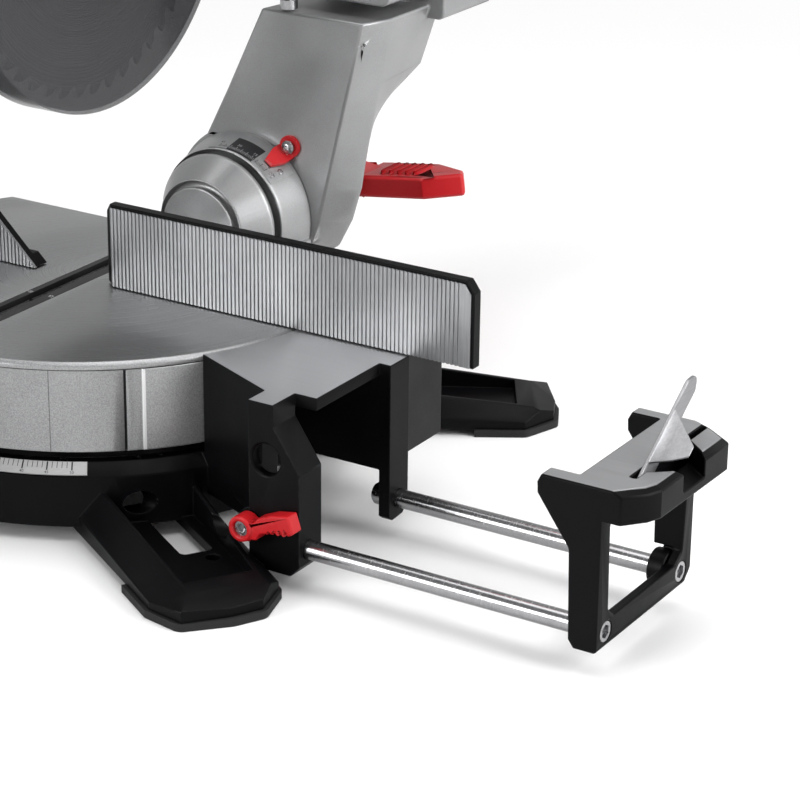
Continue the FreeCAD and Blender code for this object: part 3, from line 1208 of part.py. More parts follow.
stop_x = D.rail_left - 5
stop_y = carriage_front - 8
depth_stop = node(fuse(
    rod("Z", stop_x, stop_y, D.rail_height - 22, D.rail_height + 6, 2.98),
    hexagon("Z", stop_x, stop_y, D.rail_height - 2, D.rail_height + 2.4, 6),
    rod("Z", stop_x, stop_y, D.rail_height + 3.6, D.rail_height + 7.2, 4.5),
    rod("Z", stop_x, stop_y, D.rail_height - 26.5, D.rail_height - 20, 6.2)), "depth_stop")

# Knob that holds the head down: a pin through the left ear.
head_pin = node(fuse(
    rod("X", D.chop_y + 12, D.chop_z + 12, left_ear[0] - 12, left_ear[1] - 1, 2.5),
    rod("X", D.chop_y + 12, D.chop_z + 12, left_ear[0] - 18, left_ear[0] - 5, 7)), "head_lock_pin")

# Gear housing: the arm from the pivot to the gearbox and the boss that carries the arbor.
gear = new_body("gear")
ay = D.arbor_y
az = D.arbor_z
pad(gear, "YZ", D.guard_right, D.guard_right + 34, [
    (ay - 44, az + 20), (ay - 66, az + 64), (ay - 64, az + 98), (ay - 50, az + 108), (ay + 20, az + 106),
    (ay + 92, az + 74), (ay + 128, az + 30), (D.chop_y + 6, D.chop_z + 21),
    (D.chop_y + 18, D.chop_z + 12),
    (D.chop_y + 18, D.chop_z - 10), (D.chop_y - 4, D.chop_z - 21), (ay + 96, az - 24), (ay + 34, az - 38),
    (ay - 20, az - 40), (ay - 38, az - 22)])
boss_end = D.lower_guard_right - 2
boss_radius = size(37.9)
gear_solid = fuse(
    gear, rod("X", ay, az, boss_end, D.guard_right + 30, boss_radius),
    rod("X", ay, az, D.guard_right + 4, D.guard_right + 42, 30),
    rod("X", D.motor_y, D.motor_z, D.guard_right + 8, D.motor_start, D.motor_radius + 3),
    rod("X", D.chop_y, D.chop_z, knuckle_low, knuckle_high, D.knuckle_radius - 1))
arbor_bore = size(8 + 0.05)
gear_housing = node(cut(
    gear_solid, rod("X", ay, az, 0, D.guard_right + 36, arbor_bore),
    rod("X", D.chop_y, D.chop_z, 0, 100, chop_bore),
    box(knuckle_high, 140, D.chop_y - 40, D.chop_y + 40, D.chop_z - 60, D.chop_z + 80)), "gear_housing")


def shell(name, left, right, outer, wall, hub, span_angle):
    """Part of a drum-shaped guard, open towards its axis, centred on its own top."""
    body = new_body(name)
    turned(body, "XZ", (-30, 0), (30, 0), [
        (left, hub), (left + wall, hub), (left + wall, outer - wall), (right - wall, outer - wall),
        (right - wall, hub), (right, hub), (right, outer), (left, outer)], angle=span_angle)
    body.Tip.Midplane = True
    return body


guard = shell("fixed_guard", D.guard_left, D.guard_right, D.guard_radius, D.guard_wall, size(44),
    size(175))
settle(guard, 0, ay, az, (-1, 0, 0), 28.5)
port_z = az + 84
port_x = (D.guard_left + D.guard_right) / 2
upper_guard = node(cut(guard, rod("Y", port_x, port_z, ay + 80, ay + 150, 14)), "upper_guard")
dust_port = node(cut(
    fuse(rod("Y", port_x, port_z, ay + 88, ay + 152, 19),
    rod("Y", port_x, port_z, ay + 150, ay + 176, 17.5),
         cone("Y", port_x, port_z, ay + 146, ay + 152, 22, 18)),
    rod("Y", port_x, port_z, ay + 80, ay + 180, 15), rod("X", ay, az, -60, 18.1, D.guard_radius)),
    "dust_port")

swing = shell("swing_guard", D.lower_guard_left, D.lower_guard_right, D.lower_guard_radius, size(2),
    size(42),
              size(186))
settle(swing, 0, ay, az, (1, 0, 0), 147)
ring_right = tube("X", ay, az, D.lower_guard_right - 2, D.lower_guard_right, 44, boss_radius + 0.06)
ring_left = tube("X", ay, az, D.lower_guard_left, D.lower_guard_left + 2, 44, 34)
lower_guard = node(fuse(swing, ring_right, ring_left), "lower_guard")

# Motor: housing with cooling slots, a cap at the outer end and two brush covers.
my = D.motor_y
mz = D.motor_z
slots = []
for k in range(16):
    slot = box(-3, 3, D.motor_radius - 8, D.motor_radius + 6, D.motor_end - 42, D.motor_end - 22)
    slots.append(slot)
slot_ring = []
for k, slot in enumerate(slots):
    holder = doc.addObject("Part::Compound", "slot")
    holder.Links = [slot]
    turn = Rotation(Vector(0, 1, 0), 90).multiply(Rotation(Vector(0, 0, 1), 22.5 * k))
    holder.Placement = Placement(Vector(), turn)
    bind(holder, "Placement.Base.y", my)
    bind(holder, "Placement.Base.z", mz)
    slot_ring.append(holder)
cap_start = D.motor_end - 14
motor_housing = node(cut(fuse(
    tube("X", my, mz, D.motor_start, cap_start, D.motor_radius, D.motor_radius - D.motor_wall),
    tube("X", my, mz, D.motor_start, D.motor_start + 6, D.motor_radius + 3, D.motor_radius - 8),
    tube("X", my, mz, D.motor_start + 84, D.motor_start + 90, D.motor_radius + 1.2, D.motor_radius - 8)),
    *slot_ring, rod("Y", D.motor_start + 62, mz, my - 70, my + 70, 8)), "motor_housing")
motor_cap = cut(fuse(
    cone("X", my, mz, D.motor_end - 6, D.motor_end, D.motor_radius, D.motor_radius - 6),
    rod("X", my, mz, cap_start, D.motor_end - 6, D.motor_radius)),
    rod("X", my, mz, cap_start - 2, D.motor_end - 4, D.motor_radius - 5),
    *[rod("X", my + 26 * math.cos(math.radians(45 * k)), mz + 26 * math.sin(math.radians(45 * k)),
          D.motor_end - 10, D.motor_end + 4, 4) for k in range(8)])
motor_cap = node(motor_cap, "motor_cap")
covers = []
for low, high in ((my - D.motor_radius - 2.5, my - D.motor_radius + 14),
    (my + D.motor_radius - 14, my + D.motor_radius + 2.5)):
    covers.append(rod("Y", D.motor_start + 62, mz, low, high, 7.9))
brush_caps = node(group(*covers), "brush_caps")

# Handles on the head.
handle = new_body("handle")
hx = D.guard_right + 4
pad(handle, "YZ", hx, hx + 30, [
    (ay - 56, az + 60, 6), (ay - 62, az + 104, 6), (ay - 104, az + 146, 14), (ay - 166, az + 160, 16),
    (ay - 222, az + 138, 16), (ay - 236, az + 104, 14), (ay - 214, az + 74, 10), (ay - 150, az + 76, 12),
    (ay - 108, az + 50, 10), (ay - 66, az + 48, 6)])
pocket(handle, "YZ", hx - 5, hx + 35, [
    (ay - 100, az + 106, 8), (ay - 120, az + 126, 10), (ay - 164, az + 136, 10), (ay - 200, az + 124, 10),
    (ay - 208, az + 106, 8), (ay - 196, az + 98, 8), (ay - 146, az + 100, 8), (ay - 112, az + 84, 8)])
trigger_slot = box(hx + 9, hx + 21, ay - 186, ay - 128, az + 87, az + 103)
button_bore = rod("X", ay - 132, az + 139, hx - 4, hx + 34, 5.06)
main_handle = node(cut(handle, gear_housing, trigger_slot, button_bore), "main_handle")
trig = new_body("trigger")
pad(trig, "YZ", hx + 9.4, hx + 20.6, [
    (ay - 184, az + 93), (ay - 130, az + 93), (ay - 130, az + 103, 3), (ay - 150, az + 106, 4),
    (ay - 178, az + 107, 3), (ay - 184, az + 101)])
trigger = node(trig, "trigger")
lock_button = node(rod("X", ay - 132, az + 139, hx - 2.5, hx + 32.5, 5), "lock_off_button")

carry = new_body("carry")
cy = ay + 16
pad(carry, "YZ", hx + 4, hx + 26, [
    (cy - 50, az + 100), (cy - 46, az + 136, 8), (cy - 28, az + 146, 6), (cy + 52, az + 140, 8),
    (cy + 74, az + 112, 6), (cy + 78, az + 62), (cy + 60, az + 70), (cy + 54, az + 108, 5),
    (cy + 44, az + 124, 6), (cy - 22, az + 128, 6), (cy - 31, az + 118, 4), (cy - 34, az + 100)])
carry_handle = node(cut(carry, gear_housing), "carry_handle")
cord_gland = node(cut(fuse(
    rod("Y", D.motor_start + 22, mz + 14, my + D.motor_radius - 14, my + D.motor_radius + 4, 10),
    cone("Y", D.motor_start + 22, mz + 14, my + D.motor_radius + 4, my + D.motor_radius + 26, 8.5, 5.5)),
    rod("X", my, mz, 0, 300, D.motor_radius),
    rod("Y", D.motor_start + 22, mz + 14, my, my + D.motor_radius + 40, 3.6)), "cord_gland")

# Blade and what turns with it.
teeth = int(D.blade_teeth.value)
outline = []
tips = []
for tooth in range(teeth):
    turn = 2 * math.pi * tooth / teeth
    pitch = 2 * math.pi / teeth
    for part_turn, radius in ((0.0, D.blade_radius.value - 0.6), (0.30, D.blade_radius.value - 1.8),
                              (0.62, D.blade_radius.value - 7.5), (0.86, D.blade_radius.value - 8.6),
                              (0.97, D.blade_radius.value - 6.4)):
        angle = turn + part_turn * pitch
        outline.append(Vector(0, radius * math.cos(angle), radius * math.sin(angle)))
outline.append(outline[0])
half_plate = D.blade_plate.value / 2
plate_shape = Part.Face(Part.makePolygon(outline)).extrude(Vector(2 * half_plate, 0, 0))
plate_shape.translate(Vector(-half_plate, 0, 0))
tip_shapes = []
for tooth in range(teeth):
    tip = Part.makeBox(D.blade_kerf.value, 5, 1.6,
        Vector(-D.blade_kerf.value / 2, D.blade_radius.value - 5.3, -0.4))
    tip.rotate(Vector(), Vector(1, 0, 0), 360.0 * tooth / teeth)
    tip_shapes.append(tip)
blade_shape = plate_shape.fuse(tip_shapes)
blade_shape = blade_shape.cut(Part.makeCylinder(D.arbor_radius.value, 10, Vector(-5, 0, 0),
    Vector(1, 0, 0)))
for k in range(4):
    slit = Part.makeBox(10, 16, 0.8, Vector(-5, D.blade_radius.value - 24, -0.4 + 2.5))
    slit.rotate(Vector(), Vector(1, 0, 0), 90.0 * k + 360.0 / teeth * 0.35)
    eye = Part.makeCylinder(2.2, 10, Vector(-5, D.blade_radius.value - 24, 2.5), Vector(1, 0, 0))
    eye.rotate(Vector(), Vector(1, 0, 0), 90.0 * k + 360.0 / teeth * 0.35)
    blade_shape = blade_shape.cut(slit.fuse(eye))
blade_thing = doc.addObject("Part::Feature", "blade")
blade_thing.Shape = blade_shape
bind(blade_thing, "Placement.Base.y", ay)
bind(blade_thing, "Placement.Base.z", az)
saw_blade = node(blade_thing, "saw_blade")
half_blade = D.blade_plate / 2
arbor_shaft = node(rod("X", ay, az, -4, D.guard_right + 34, 8), "arbor_shaft")
blade_flanges = node(group(
    cut(fuse(rod("X", ay, az, half_blade, 7.6, 28),
    rod("X", ay, az, -half_blade, half_blade + 1, D.arbor_radius - 0.03)),
        rod("X", ay, az, -10, 20, 8)),
    cut(rod("X", ay, az, -6, -half_blade, 26), rod("X", ay, az, -10, 20, 8))), "blade_flanges")
arbor_bolt = node(fuse(rod("X", ay, az, -7.5, -6, 11), rod("X", ay, az, -7, -4, 5),
                       hexagon("X", ay, az, -11.6, -7.2, 9)), "arbor_bolt")

# Pull-out work support: a bracket on two rods.
bracket = new_body("bracket")
leg_low = D.bracket_face - D.bracket_leg
pad(bracket, "XZ", D.bracket_front, D.bracket_rear, [
    (D.bracket_inner + 2.3, D.table_height), (D.bracket_inner - 0.3, D.table_height - 5.2),
    (D.bracket_inner, D.table_height - 11.8), (leg_low - 1.6, 76), (leg_low, 20),
    (leg_low + 3.5, D.bracket_bottom), (D.bracket_face - 1.5, D.bracket_bottom),
    (D.bracket_face, D.bracket_bottom + 1.5), (D.bracket_face, D.table_height - D.bracket_bar + 2),
    (D.bracket_face - 5, D.table_height - D.bracket_bar + 2), (D.bracket_face - 5, D.table_height)])
window_front = D.bracket_front + D.bracket_front_leg
window_rear = D.bracket_rear - D.bracket_rear_leg
sill = D.bracket_bottom + D.bracket_sill
window_top = D.table_height - D.bracket_bar - 4
pocket(bracket, "YZ", leg_low - 40, D.bracket_face + 40, [
    (window_front, window_top - 2), (window_front + 1.6, sill + 6), (window_front + 9, sill),
    (window_rear - 12, sill), (window_rear - 3, sill + 6), (window_rear, window_top - 3),
    (window_rear - 5, window_top), (window_front + 5, window_top)])
pocket(bracket, "YZ", leg_low - 40, leg_low - 2, [
    (window_front, -5), (window_front, D.table_height + 5), (window_rear, D.table_height + 5),
    (window_rear, -5)])
pocket(bracket, "YZ", leg_low - 3, D.bracket_face - D.sill_wall, rectangle(
    window_front, window_rear, -5, sill + 7))
pocket(bracket, "XZ", window_rear - 0.1, D.bracket_rear + 1, [
    (leg_low - 10, 5), (D.bracket_face - D.rear_leg_depth, 5), (D.bracket_face - D.rear_leg_depth, 70),
    (leg_low - 5, 84), (leg_low - 10, 84)])
pocket(bracket, "YZ", leg_low - 40, D.bracket_face + 10, [
    (D.bracket_rear + 1, D.bracket_bottom - 1), (D.bracket_rear + 1, D.bracket_bottom + 9),
    (D.bracket_rear - 9, D.bracket_bottom - 1)])
outer = D.bracket_outer
cham = D.bar_chamfer
bar_outline = [
    (leg_low + 2, D.bracket_front), (outer - cham, D.bracket_front),
    (outer - cham + 10.5, D.bracket_front + 13),
    (outer - 1, D.bracket_front + 22), (outer, D.bracket_rear - 14),
    (outer - cham - 2, D.bracket_rear - 1.6),
    (outer - cham - 5, D.bracket_rear), (leg_low + 2, D.bracket_rear)]
bar_crest = [
    (leg_low + 2, D.bracket_front), (outer - cham - 5.8, D.bracket_front),
    (outer - 8.4, D.bracket_front + 15.3),
    (outer - 5.5, D.bracket_front + 22.9), (outer - 4.5, D.bracket_rear - 16.3),
    (outer - cham - 4.4, D.bracket_rear - 5.4), (outer - cham - 14.5, D.bracket_rear),
    (leg_low + 2, D.bracket_rear)]
bar_edge = D.table_height - D.bar_slope_height
pad(bracket, "XY", D.table_height - D.bracket_bar, bar_edge, bar_outline)
lofted(bracket, "XY", [(bar_edge, bar_outline), (D.table_height, bar_crest)])
pocket(bracket, "XY", D.table_height - 18, D.table_height, rectangle(
    D.stop_face, D.stop_face + D.stop_slot, D.stop_pin_y - 12, D.stop_pin_y + D.stop_length + 2))
pocket(bracket, "XY", D.table_height - 14, D.table_height, [
    (D.stop_face + D.stop_slot - 1, D.stop_pin_y - 2), (D.stop_face + 24, D.stop_pin_y + 16),
    (outer + 3, D.stop_pin_y + 16), (outer + 3, D.stop_pin_y + 39), (D.stop_face + 22, D.stop_pin_y + 39),
    (D.stop_face + D.stop_slot - 1, D.stop_pin_y + 55)])
bracket_cuts = []
for y in (D.rod_front_y, D.rod_rear_y):
    bracket_cuts.append(rod("X", y, D.rod_height, leg_low - 20, D.bracket_face - 6, D.rod_radius))
    bracket_cuts.append(rod("X", y, D.rod_height, D.bracket_face - 5.2, D.bracket_face + 8,
        D.rod_radius + 0.4))
    bracket_cuts.append(rod("X", y, D.rod_height, D.bracket_face - 12, D.bracket_face + 4, 2.6))
pin_low = D.stop_face - 5
pin_high = D.stop_face + D.stop_slot + 8
bracket_cuts.append(rod("X", D.stop_pin_y, D.stop_pin_z, pin_low, pin_high, 1.5))
boss_ring = D.rod_boss_radius
bracket_whole = cut(fuse(
    bracket, rod("X", D.rod_rear_y, D.rod_height, leg_low + 1, D.bracket_face - 7, boss_ring)),
    *bracket_cuts)

# The rods slide in the base; a collar keeps each one from leaving its bore.
rod_end = D.bracket_face - 6.1
front_rod = rod("X", D.rod_front_y, D.rod_height, D.rod_front_inner, rod_end, D.rod_radius)
rear_rod = rod("X", D.rod_rear_y, D.rod_height, D.rod_rear_inner, rod_end, D.rod_radius)
collar = rod("X", D.rod_rear_y, D.rod_height, D.rod_rear_inner + 1.5, lug_inner - 0.4, D.rod_radius + 1.2)
rods = group(front_rod, fuse(rear_rod, collar))
fixings = []
for y in (D.rod_front_y, D.rod_rear_y):
    fixings.append(cut(fuse(
        rod("X", y, D.rod_height, D.bracket_face - 5.2, D.bracket_face - 0.4, D.rod_radius + 0.2),
        rod("X", y, D.rod_height, D.bracket_face - 6, D.bracket_face - 3, 2.5)),
        hexagon("X", y, D.rod_height, D.bracket_face - 3.6, D.bracket_face + 1, 4.4)))
fixings.append(rod("X", D.stop_pin_y, D.stop_pin_z, pin_low + 0.3, pin_high - 0.3, 1.45))
pins = group(*fixings)

# Fold-up work stop: a tab in the slot with a bent wing that drops into the finger notch.
stop = new_body("stop")
sw = D.stop_width / 2
pad(stop, "YZ", 0, D.stop_sheet, [
    (-sw, -sw, sw * 0.9), (D.stop_length - 8, -sw, 5), (D.stop_length, 0, 4), (D.stop_length - 10, sw, 6),
    (-sw, sw, sw * 0.9)], Circle(0, 0, 1.55))
wing_plate = new_body("stop_wing")
pad(wing_plate, "XY", -D.stop_sheet, 0, [
    (0, 9), (12, 17, 2), (20, 24, 2), (20, 31, 2), (0, 49)])
wing_turn = doc.addObject("Part::Compound", "stop_wing_bent")
wing_turn.Links = [wing_plate]
wing_turn.Placement = Placement(Vector(D.stop_sheet.value - 1, 0, sw.value),
    Rotation(Vector(0, 1, 0), 24))
stop_flat = fuse(stop, wing_turn)
stop_lifted = doc.addObject("Part::Compound", "stop_lifted")
stop_lifted.Links = [stop_flat]
settle(stop_lifted, D.stop_face + 1, D.stop_pin_y, D.stop_pin_z, (1, 0, 0), D.stop_lean)

# Clamp lever on the front of the block: boss, angled arm and a ribbed paddle.
clamp = new_body("clamp")
clamp_back = -D.wing_front - 0.4
clamp_front = clamp_back - D.clamp_boss_length + 3
reach = D.clamp_reach
pad(clamp, "XZ", clamp_front, clamp_back, [
    (0, -D.clamp_boss_radius + 0.5), (9, -D.clamp_boss_radius), (13, -4.5), (20, -5.5), (reach - 6, -8),
    (reach, -7), (reach, 4.5, 1), (reach - 12, 6), (14, 5), (9, 2), (0, D.clamp_boss_radius - 0.5)])
for step in range(4):
    low = 18.5 + step * 4
    pocket(clamp, "XZ", clamp_front - 2, clamp_back + 2, rectangle(low, low + 1.8, -9, -4.2))
settle(clamp, D.clamp_x, 0, D.clamp_z, (0, -1, 0), D.clamp_lift)
clamp_lever = cut(fuse(clamp, rod("Y", D.clamp_x, D.clamp_z, clamp_front - 1.6, clamp_back,
    D.clamp_boss_radius)),
                  rod("Y", D.clamp_x, D.clamp_z, clamp_front - 5, clamp_front + 5, 4.9),
                  rod("Y", D.clamp_x, D.clamp_z, -200, -100, 3))
clamp_screw = cut(fuse(rod("Y", D.clamp_x, D.clamp_z, clamp_front + 1, block_back - 8, 3),
                       rod("Y", D.clamp_x, D.clamp_z, clamp_front + 0.4, clamp_front + 5, 4.8)),
                  hexagon("Y", D.clamp_x, D.clamp_z, clamp_front - 2, clamp_front + 3.4, 2.8))

for thing, name in ((bracket_whole, "extension_bracket"), (rods, "extension_rods"),
    (pins, "extension_pins"),
                    (stop_lifted, "work_stop"), (clamp_lever, "clamp_lever"),
                    (clamp_screw, "clamp_screw")):
    node(mirrored(thing), name + "_left")
    node(thing, name + "_right")

doc.recompute()
faults = []
for thing in doc.Objects:
    if "Invalid" in thing.State or "Error" in thing.State:
        faults.append(thing.Name + ": " + thing.getStatusString())
for thing in NODES:
    if thing.Shape.isNull() or not thing.Shape.isValid():
        faults.append(thing.Label + ": shape is not valid")
if faults:
    raise RuntimeError("; ".join(faults))

os.makedirs("parts", exist_ok=True)
for thing in NODES:
    thing.Shape.exportStep("parts/%s.step" % thing.Label)
print("%d sub-parts written" % len(NODES))
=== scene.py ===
import json
import math
import bmesh
import bpy
from mathutils import Matrix, Vector


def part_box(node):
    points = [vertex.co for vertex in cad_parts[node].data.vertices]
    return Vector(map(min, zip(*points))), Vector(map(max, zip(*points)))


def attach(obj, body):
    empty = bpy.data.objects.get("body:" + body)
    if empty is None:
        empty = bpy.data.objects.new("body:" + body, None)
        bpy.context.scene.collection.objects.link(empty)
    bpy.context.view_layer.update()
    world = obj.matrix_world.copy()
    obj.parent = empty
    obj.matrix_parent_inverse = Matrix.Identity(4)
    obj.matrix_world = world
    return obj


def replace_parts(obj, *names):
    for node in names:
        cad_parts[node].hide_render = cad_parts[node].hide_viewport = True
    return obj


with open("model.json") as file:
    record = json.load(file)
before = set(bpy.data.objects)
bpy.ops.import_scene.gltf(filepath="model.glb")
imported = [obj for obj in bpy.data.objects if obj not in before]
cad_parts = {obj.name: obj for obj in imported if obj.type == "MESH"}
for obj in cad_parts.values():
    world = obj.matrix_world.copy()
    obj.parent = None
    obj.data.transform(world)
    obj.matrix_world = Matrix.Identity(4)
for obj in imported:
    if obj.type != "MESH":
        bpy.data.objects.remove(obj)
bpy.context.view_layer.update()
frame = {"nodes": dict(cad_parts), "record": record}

nodes = frame["nodes"]
home = {name: body for body, names in frame["record"]["behaviour"]["bodies"].items() for name in names}

# The base: one black painted aluminium casting with a drum, two wings and four feet.
# The paint is a fine satin powder coat, worn a little thin on the edges, and the top faces
# that carry the work are ground bright after painting. Its edges are broken as cast.


class Wire:
    """One output of a node, so that sums and products of outputs read as plain maths."""

    def __init__(self, tree, socket):
        self.tree = tree
        self.socket = socket

    def __add__(self, other):
        return self.tree.maths("ADD", self, other)

    def __radd__(self, other):
        return self.tree.maths("ADD", other, self)

    def __sub__(self, other):
        return self.tree.maths("SUBTRACT", self, other)

    def __rsub__(self, other):
        return self.tree.maths("SUBTRACT", other, self)

    def __mul__(self, other):
        return self.tree.maths("MULTIPLY", self, other)

    def __rmul__(self, other):
        return self.tree.maths("MULTIPLY", other, self)


class Tree:
    """A node tree, with one method that adds any node."""

    def __init__(self, tree):
        self.tree = tree

    def node(self, kind, settings=None, inputs=None, out=0):
        made = self.tree.nodes.new(kind)
        for name, value in (settings or {}).items():
            setattr(made, name, value)
        for name, value in (inputs or {}).items():
            self.feed(made.inputs[name], value)
        return Wire(self, made.outputs[out])

    def feed(self, socket, value):
        """Links an output to the socket, or sets the socket's own value."""
        if isinstance(value, Wire):
            self.tree.links.new(value.socket, socket)
        elif socket.type == "RGBA" and len(value) == 3:
            socket.default_value = (*value, 1)
        else:
            socket.default_value = value

    def maths(self, operation, first, second=0.0):
        return self.node("ShaderNodeMath", {"operation": operation}, {0: first, 1: second})


class Finish(Tree):
    """A surface finish: a material whose pattern follows the piece's own coordinates."""

    edge_samples = 6
    flat_match = 0.995
    edge_match = 0.90

    def __init__(self, name):
        self.material = bpy.data.materials.new(name)
        self.material.use_nodes = True
        super().__init__(self.material.node_tree)
        self.surface = self.tree.nodes["Principled BSDF"]
        self.here = self.node("ShaderNodeTexCoord", out="Object")

    def noise(self, size, detail=2.0, rough=0.5, at=None):
        """Cloudy value whose features are about size metres across."""
        return self.node("ShaderNodeTexNoise", None, {
            "Vector": at or self.here, "Scale": 1 / size, "Detail": detail, "Roughness": rough}, "Fac")

    def cells(self, size):
        """Distance from the middle of cells that are about size metres across."""
        return self.node("ShaderNodeTexVoronoi", None, {"Vector": self.here, "Scale": 1 / size}, "Distance")

    def fade(self, value, low, high, start=0.0, end=1.0):
        """A value that goes from start to end as value goes from low to high, and stays there."""
        return self.node("ShaderNodeMapRange", {"clamp": True}, {
            "Value": value, "From Min": low, "From Max": high, "To Min": start, "To Max": end})

    def band(self, value, low, high, soft):
        """1 between low and high, 0 outside, with soft edges."""
        return self.fade(value, low - soft, low) * self.fade(value, high, high + soft, 1.0, 0.0)

    def blend(self, share, first, second):
        """The first colour where share is 0, the second where it is 1."""
        return self.node("ShaderNodeMix", {"data_type": "RGBA"}, {0: share, 6: first, 7: second}, 2)

    def along(self, axis, at=None):
        return self.node("ShaderNodeSeparateXYZ", None, {0: at or self.here}, axis)

    def upward(self):
        """How far the surface looks up: 1 on a level top."""
        return self.along("Z", self.node("ShaderNodeTexCoord", out="Normal"))

    def stretched(self, x, y, z):
        """The coordinates with each axis scaled: a pattern runs long where its factor is small."""
        return self.node("ShaderNodeMapping", None, {"Vector": self.here, "Scale": (x, y, z)})

    def reach(self, centre, keep):
        """Distance from an axis through centre; keep holds 1 for the two directions across the axis."""
        away = self.node("ShaderNodeVectorMath", {"operation": "SUBTRACT"}, {0: self.here, 1: centre})
        flat = self.node("ShaderNodeVectorMath", {"operation": "MULTIPLY"}, {0: away, 1: keep})
        return self.node("ShaderNodeVectorMath", {"operation": "LENGTH"}, {0: flat}, "Value")

    def rings(self, distance, size):
        """Fine turned rings, as a lathe or a grinder leaves them."""
        return self.node("ShaderNodeTexNoise", {"noise_dimensions": "1D"}, {
            "W": distance, "Scale": 1 / size, "Detail": 3.0})

    def edges(self, radius):
        """1 on outer and inner edges, 0 on flats, and the normal that rounds those edges."""
        soft = self.node("ShaderNodeBevel", {"samples": self.edge_samples}, {"Radius": radius})
        true = self.node("ShaderNodeNewGeometry", out="Normal")
        match = self.node("ShaderNodeVectorMath", {"operation": "DOT_PRODUCT"}, {0: soft, 1: true}, "Value")
        return self.fade(match, self.flat_match, self.edge_match), soft

    def bump(self, height, distance, strength, normal=None):
        inputs = {"Height": height, "Distance": distance, "Strength": strength}
        if normal:
            inputs["Normal"] = normal
        return self.node("ShaderNodeBump", None, inputs)

    def finish(self, colour, roughness, metallic=0.0, normal=None, **fixed):
        """Feeds the surface; fixed names other sockets, with _ for a space, and their constant values."""
        self.feed(self.surface.inputs["Base Color"], colour)
        self.feed(self.surface.inputs["Roughness"], roughness)
        self.feed(self.surface.inputs["Metallic"], metallic)
        if normal:
            self.feed(self.surface.inputs["Normal"], normal)
        for name, value in fixed.items():
            self.feed(self.surface.inputs[name.replace("_", " ")], value)
        return self.material


def dress(name, material):
    """Gives a CAD node its finish."""
    for slot in nodes[name].material_slots:
        slot.material = material
    if not nodes[name].material_slots:
        nodes[name].data.materials.append(material)


crease = math.radians(35)
flat_turn = math.radians(0.3)
sharp_turn = math.radians(30)


def shade_by_angle(piece):
    """Smooth shading with the creases kept."""
    for face in piece.data.polygons:
        face.use_smooth = True
    with bpy.context.temp_override(object=piece, active_object=piece, selected_objects=[piece],
                                   selected_editable_objects=[piece]):
        bpy.ops.object.shade_smooth_by_angle(angle=crease)


def twin_of(name, suffix):
    """A merged copy of a CAD node's mesh that is shown in its place."""
    mesh = bpy.data.meshes.new(f"{name}_{suffix}")
    form = bmesh.new()
    form.from_mesh(nodes[name].data)
    bmesh.ops.remove_doubles(form, verts=form.verts, dist=1e-6)
    bmesh.ops.dissolve_limit(form, angle_limit=flat_turn, verts=form.verts, edges=form.edges)
    form.to_mesh(mesh)
    form.free()
    for material in nodes[name].data.materials:
        mesh.materials.append(material)
    piece = bpy.data.objects.new(f"{name}_{suffix}", mesh)
    bpy.context.scene.collection.objects.link(piece)
    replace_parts(piece, name)
    return piece


def eased(name, width):
    """Shows the CAD node with its sharp edges rounded by a real bevel of that width."""
    piece = twin_of(name, "eased")
    rounding = piece.modifiers.new("edges", "BEVEL")
    rounding.width = width
    rounding.segments = 2
    rounding.limit_method = "ANGLE"
    rounding.angle_limit = sharp_turn
    rounding.use_clamp_overlap = False
    rounding.miter_outer = "MITER_ARC"
    shade_by_angle(piece)
    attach(piece, home[name])


def black_casting(name, ground_above=None):
    """Satin black powder coat. Level faces above a height are ground bright, where there are any."""
    coat_deep, coat_pale = (0.0012, 0.0012, 0.0016), (0.003, 0.003, 0.0037)
    rubbed_edge, bare_metal = (0.030, 0.031, 0.034), (0.15, 0.15, 0.155)
    ground_dark, ground_light = (0.38, 0.384, 0.392), (0.52, 0.525, 0.535)
    edge_width, grain_size, orange_peel, grinding_pitch = 0.0007, 0.0009, 0.006, 0.0016
    paint = Finish(name)
    edge, round_normal = paint.edges(edge_width)
    cloud = paint.noise(0.045, 3)
    grain = paint.noise(grain_size, 2)
    wear = paint.fade(paint.noise(0.004, 4) + edge * 0.35, 0.74, 0.88)
    shade = paint.blend(cloud, coat_deep, coat_pale)
    shade = paint.blend(edge * 0.45, shade, rubbed_edge)
    shade = paint.blend(wear * edge * 0.5, shade, bare_metal)
    rough = paint.fade(cloud + grain * 0.35, 0.4, 0.95, 0.36, 0.50)
    metal = wear * edge * 0.5
    height = grain + paint.noise(orange_peel, 2) * 0.8
    if ground_above is not None:
        ground = (paint.fade(paint.along("Z"), ground_above - 0.0006, ground_above - 0.0004)
                  * paint.fade(paint.upward(), 0.9, 0.97))
        lines = paint.noise(grinding_pitch, 3, 0.6, paint.stretched(0.03, 1, 1))
        shade = paint.blend(ground, shade, paint.blend(lines, ground_dark, ground_light))
        rough = rough + ground * (paint.fade(lines, 0.3, 0.7, 0.30, 0.42) - rough)
        metal = metal + ground * (0.92 - metal)
        height = height * (1 - ground) + lines * ground * 0.4
    relief = paint.bump(height, 0.00004, 0.5, round_normal)
    return paint.finish(shade, rough, metal, relief, Specular_IOR_Level=0.10)


table_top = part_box("turntable")[1].z
dress("base_casting", black_casting("base_black_powder_coat", table_top))
eased("base_casting", 0.0005)

# Four rubber pads, moulded with a lip that shows round each foot and a fine matt skin.
# They are pressed over the feet, so that the saw doesn't slide on the bench.


def rubber(name):
    """Matt black rubber with fine pores."""
    shade = (0.012, 0.012, 0.0125)
    bloom = tuple(part * 1.9 for part in shade)
    coat = Finish(name)
    mottle = coat.noise(0.012, 4)
    pores = coat.noise(0.0006, 2)
    return coat.finish(coat.blend(mottle, shade, bloom), coat.fade(mottle, 0.3, 0.7, 0.62, 0.80), 0.0,
                       coat.bump(pores, 0.00005, 0.6), Specular_IOR_Level=0.3)


dress("foot_pads", rubber("pad_rubber"))

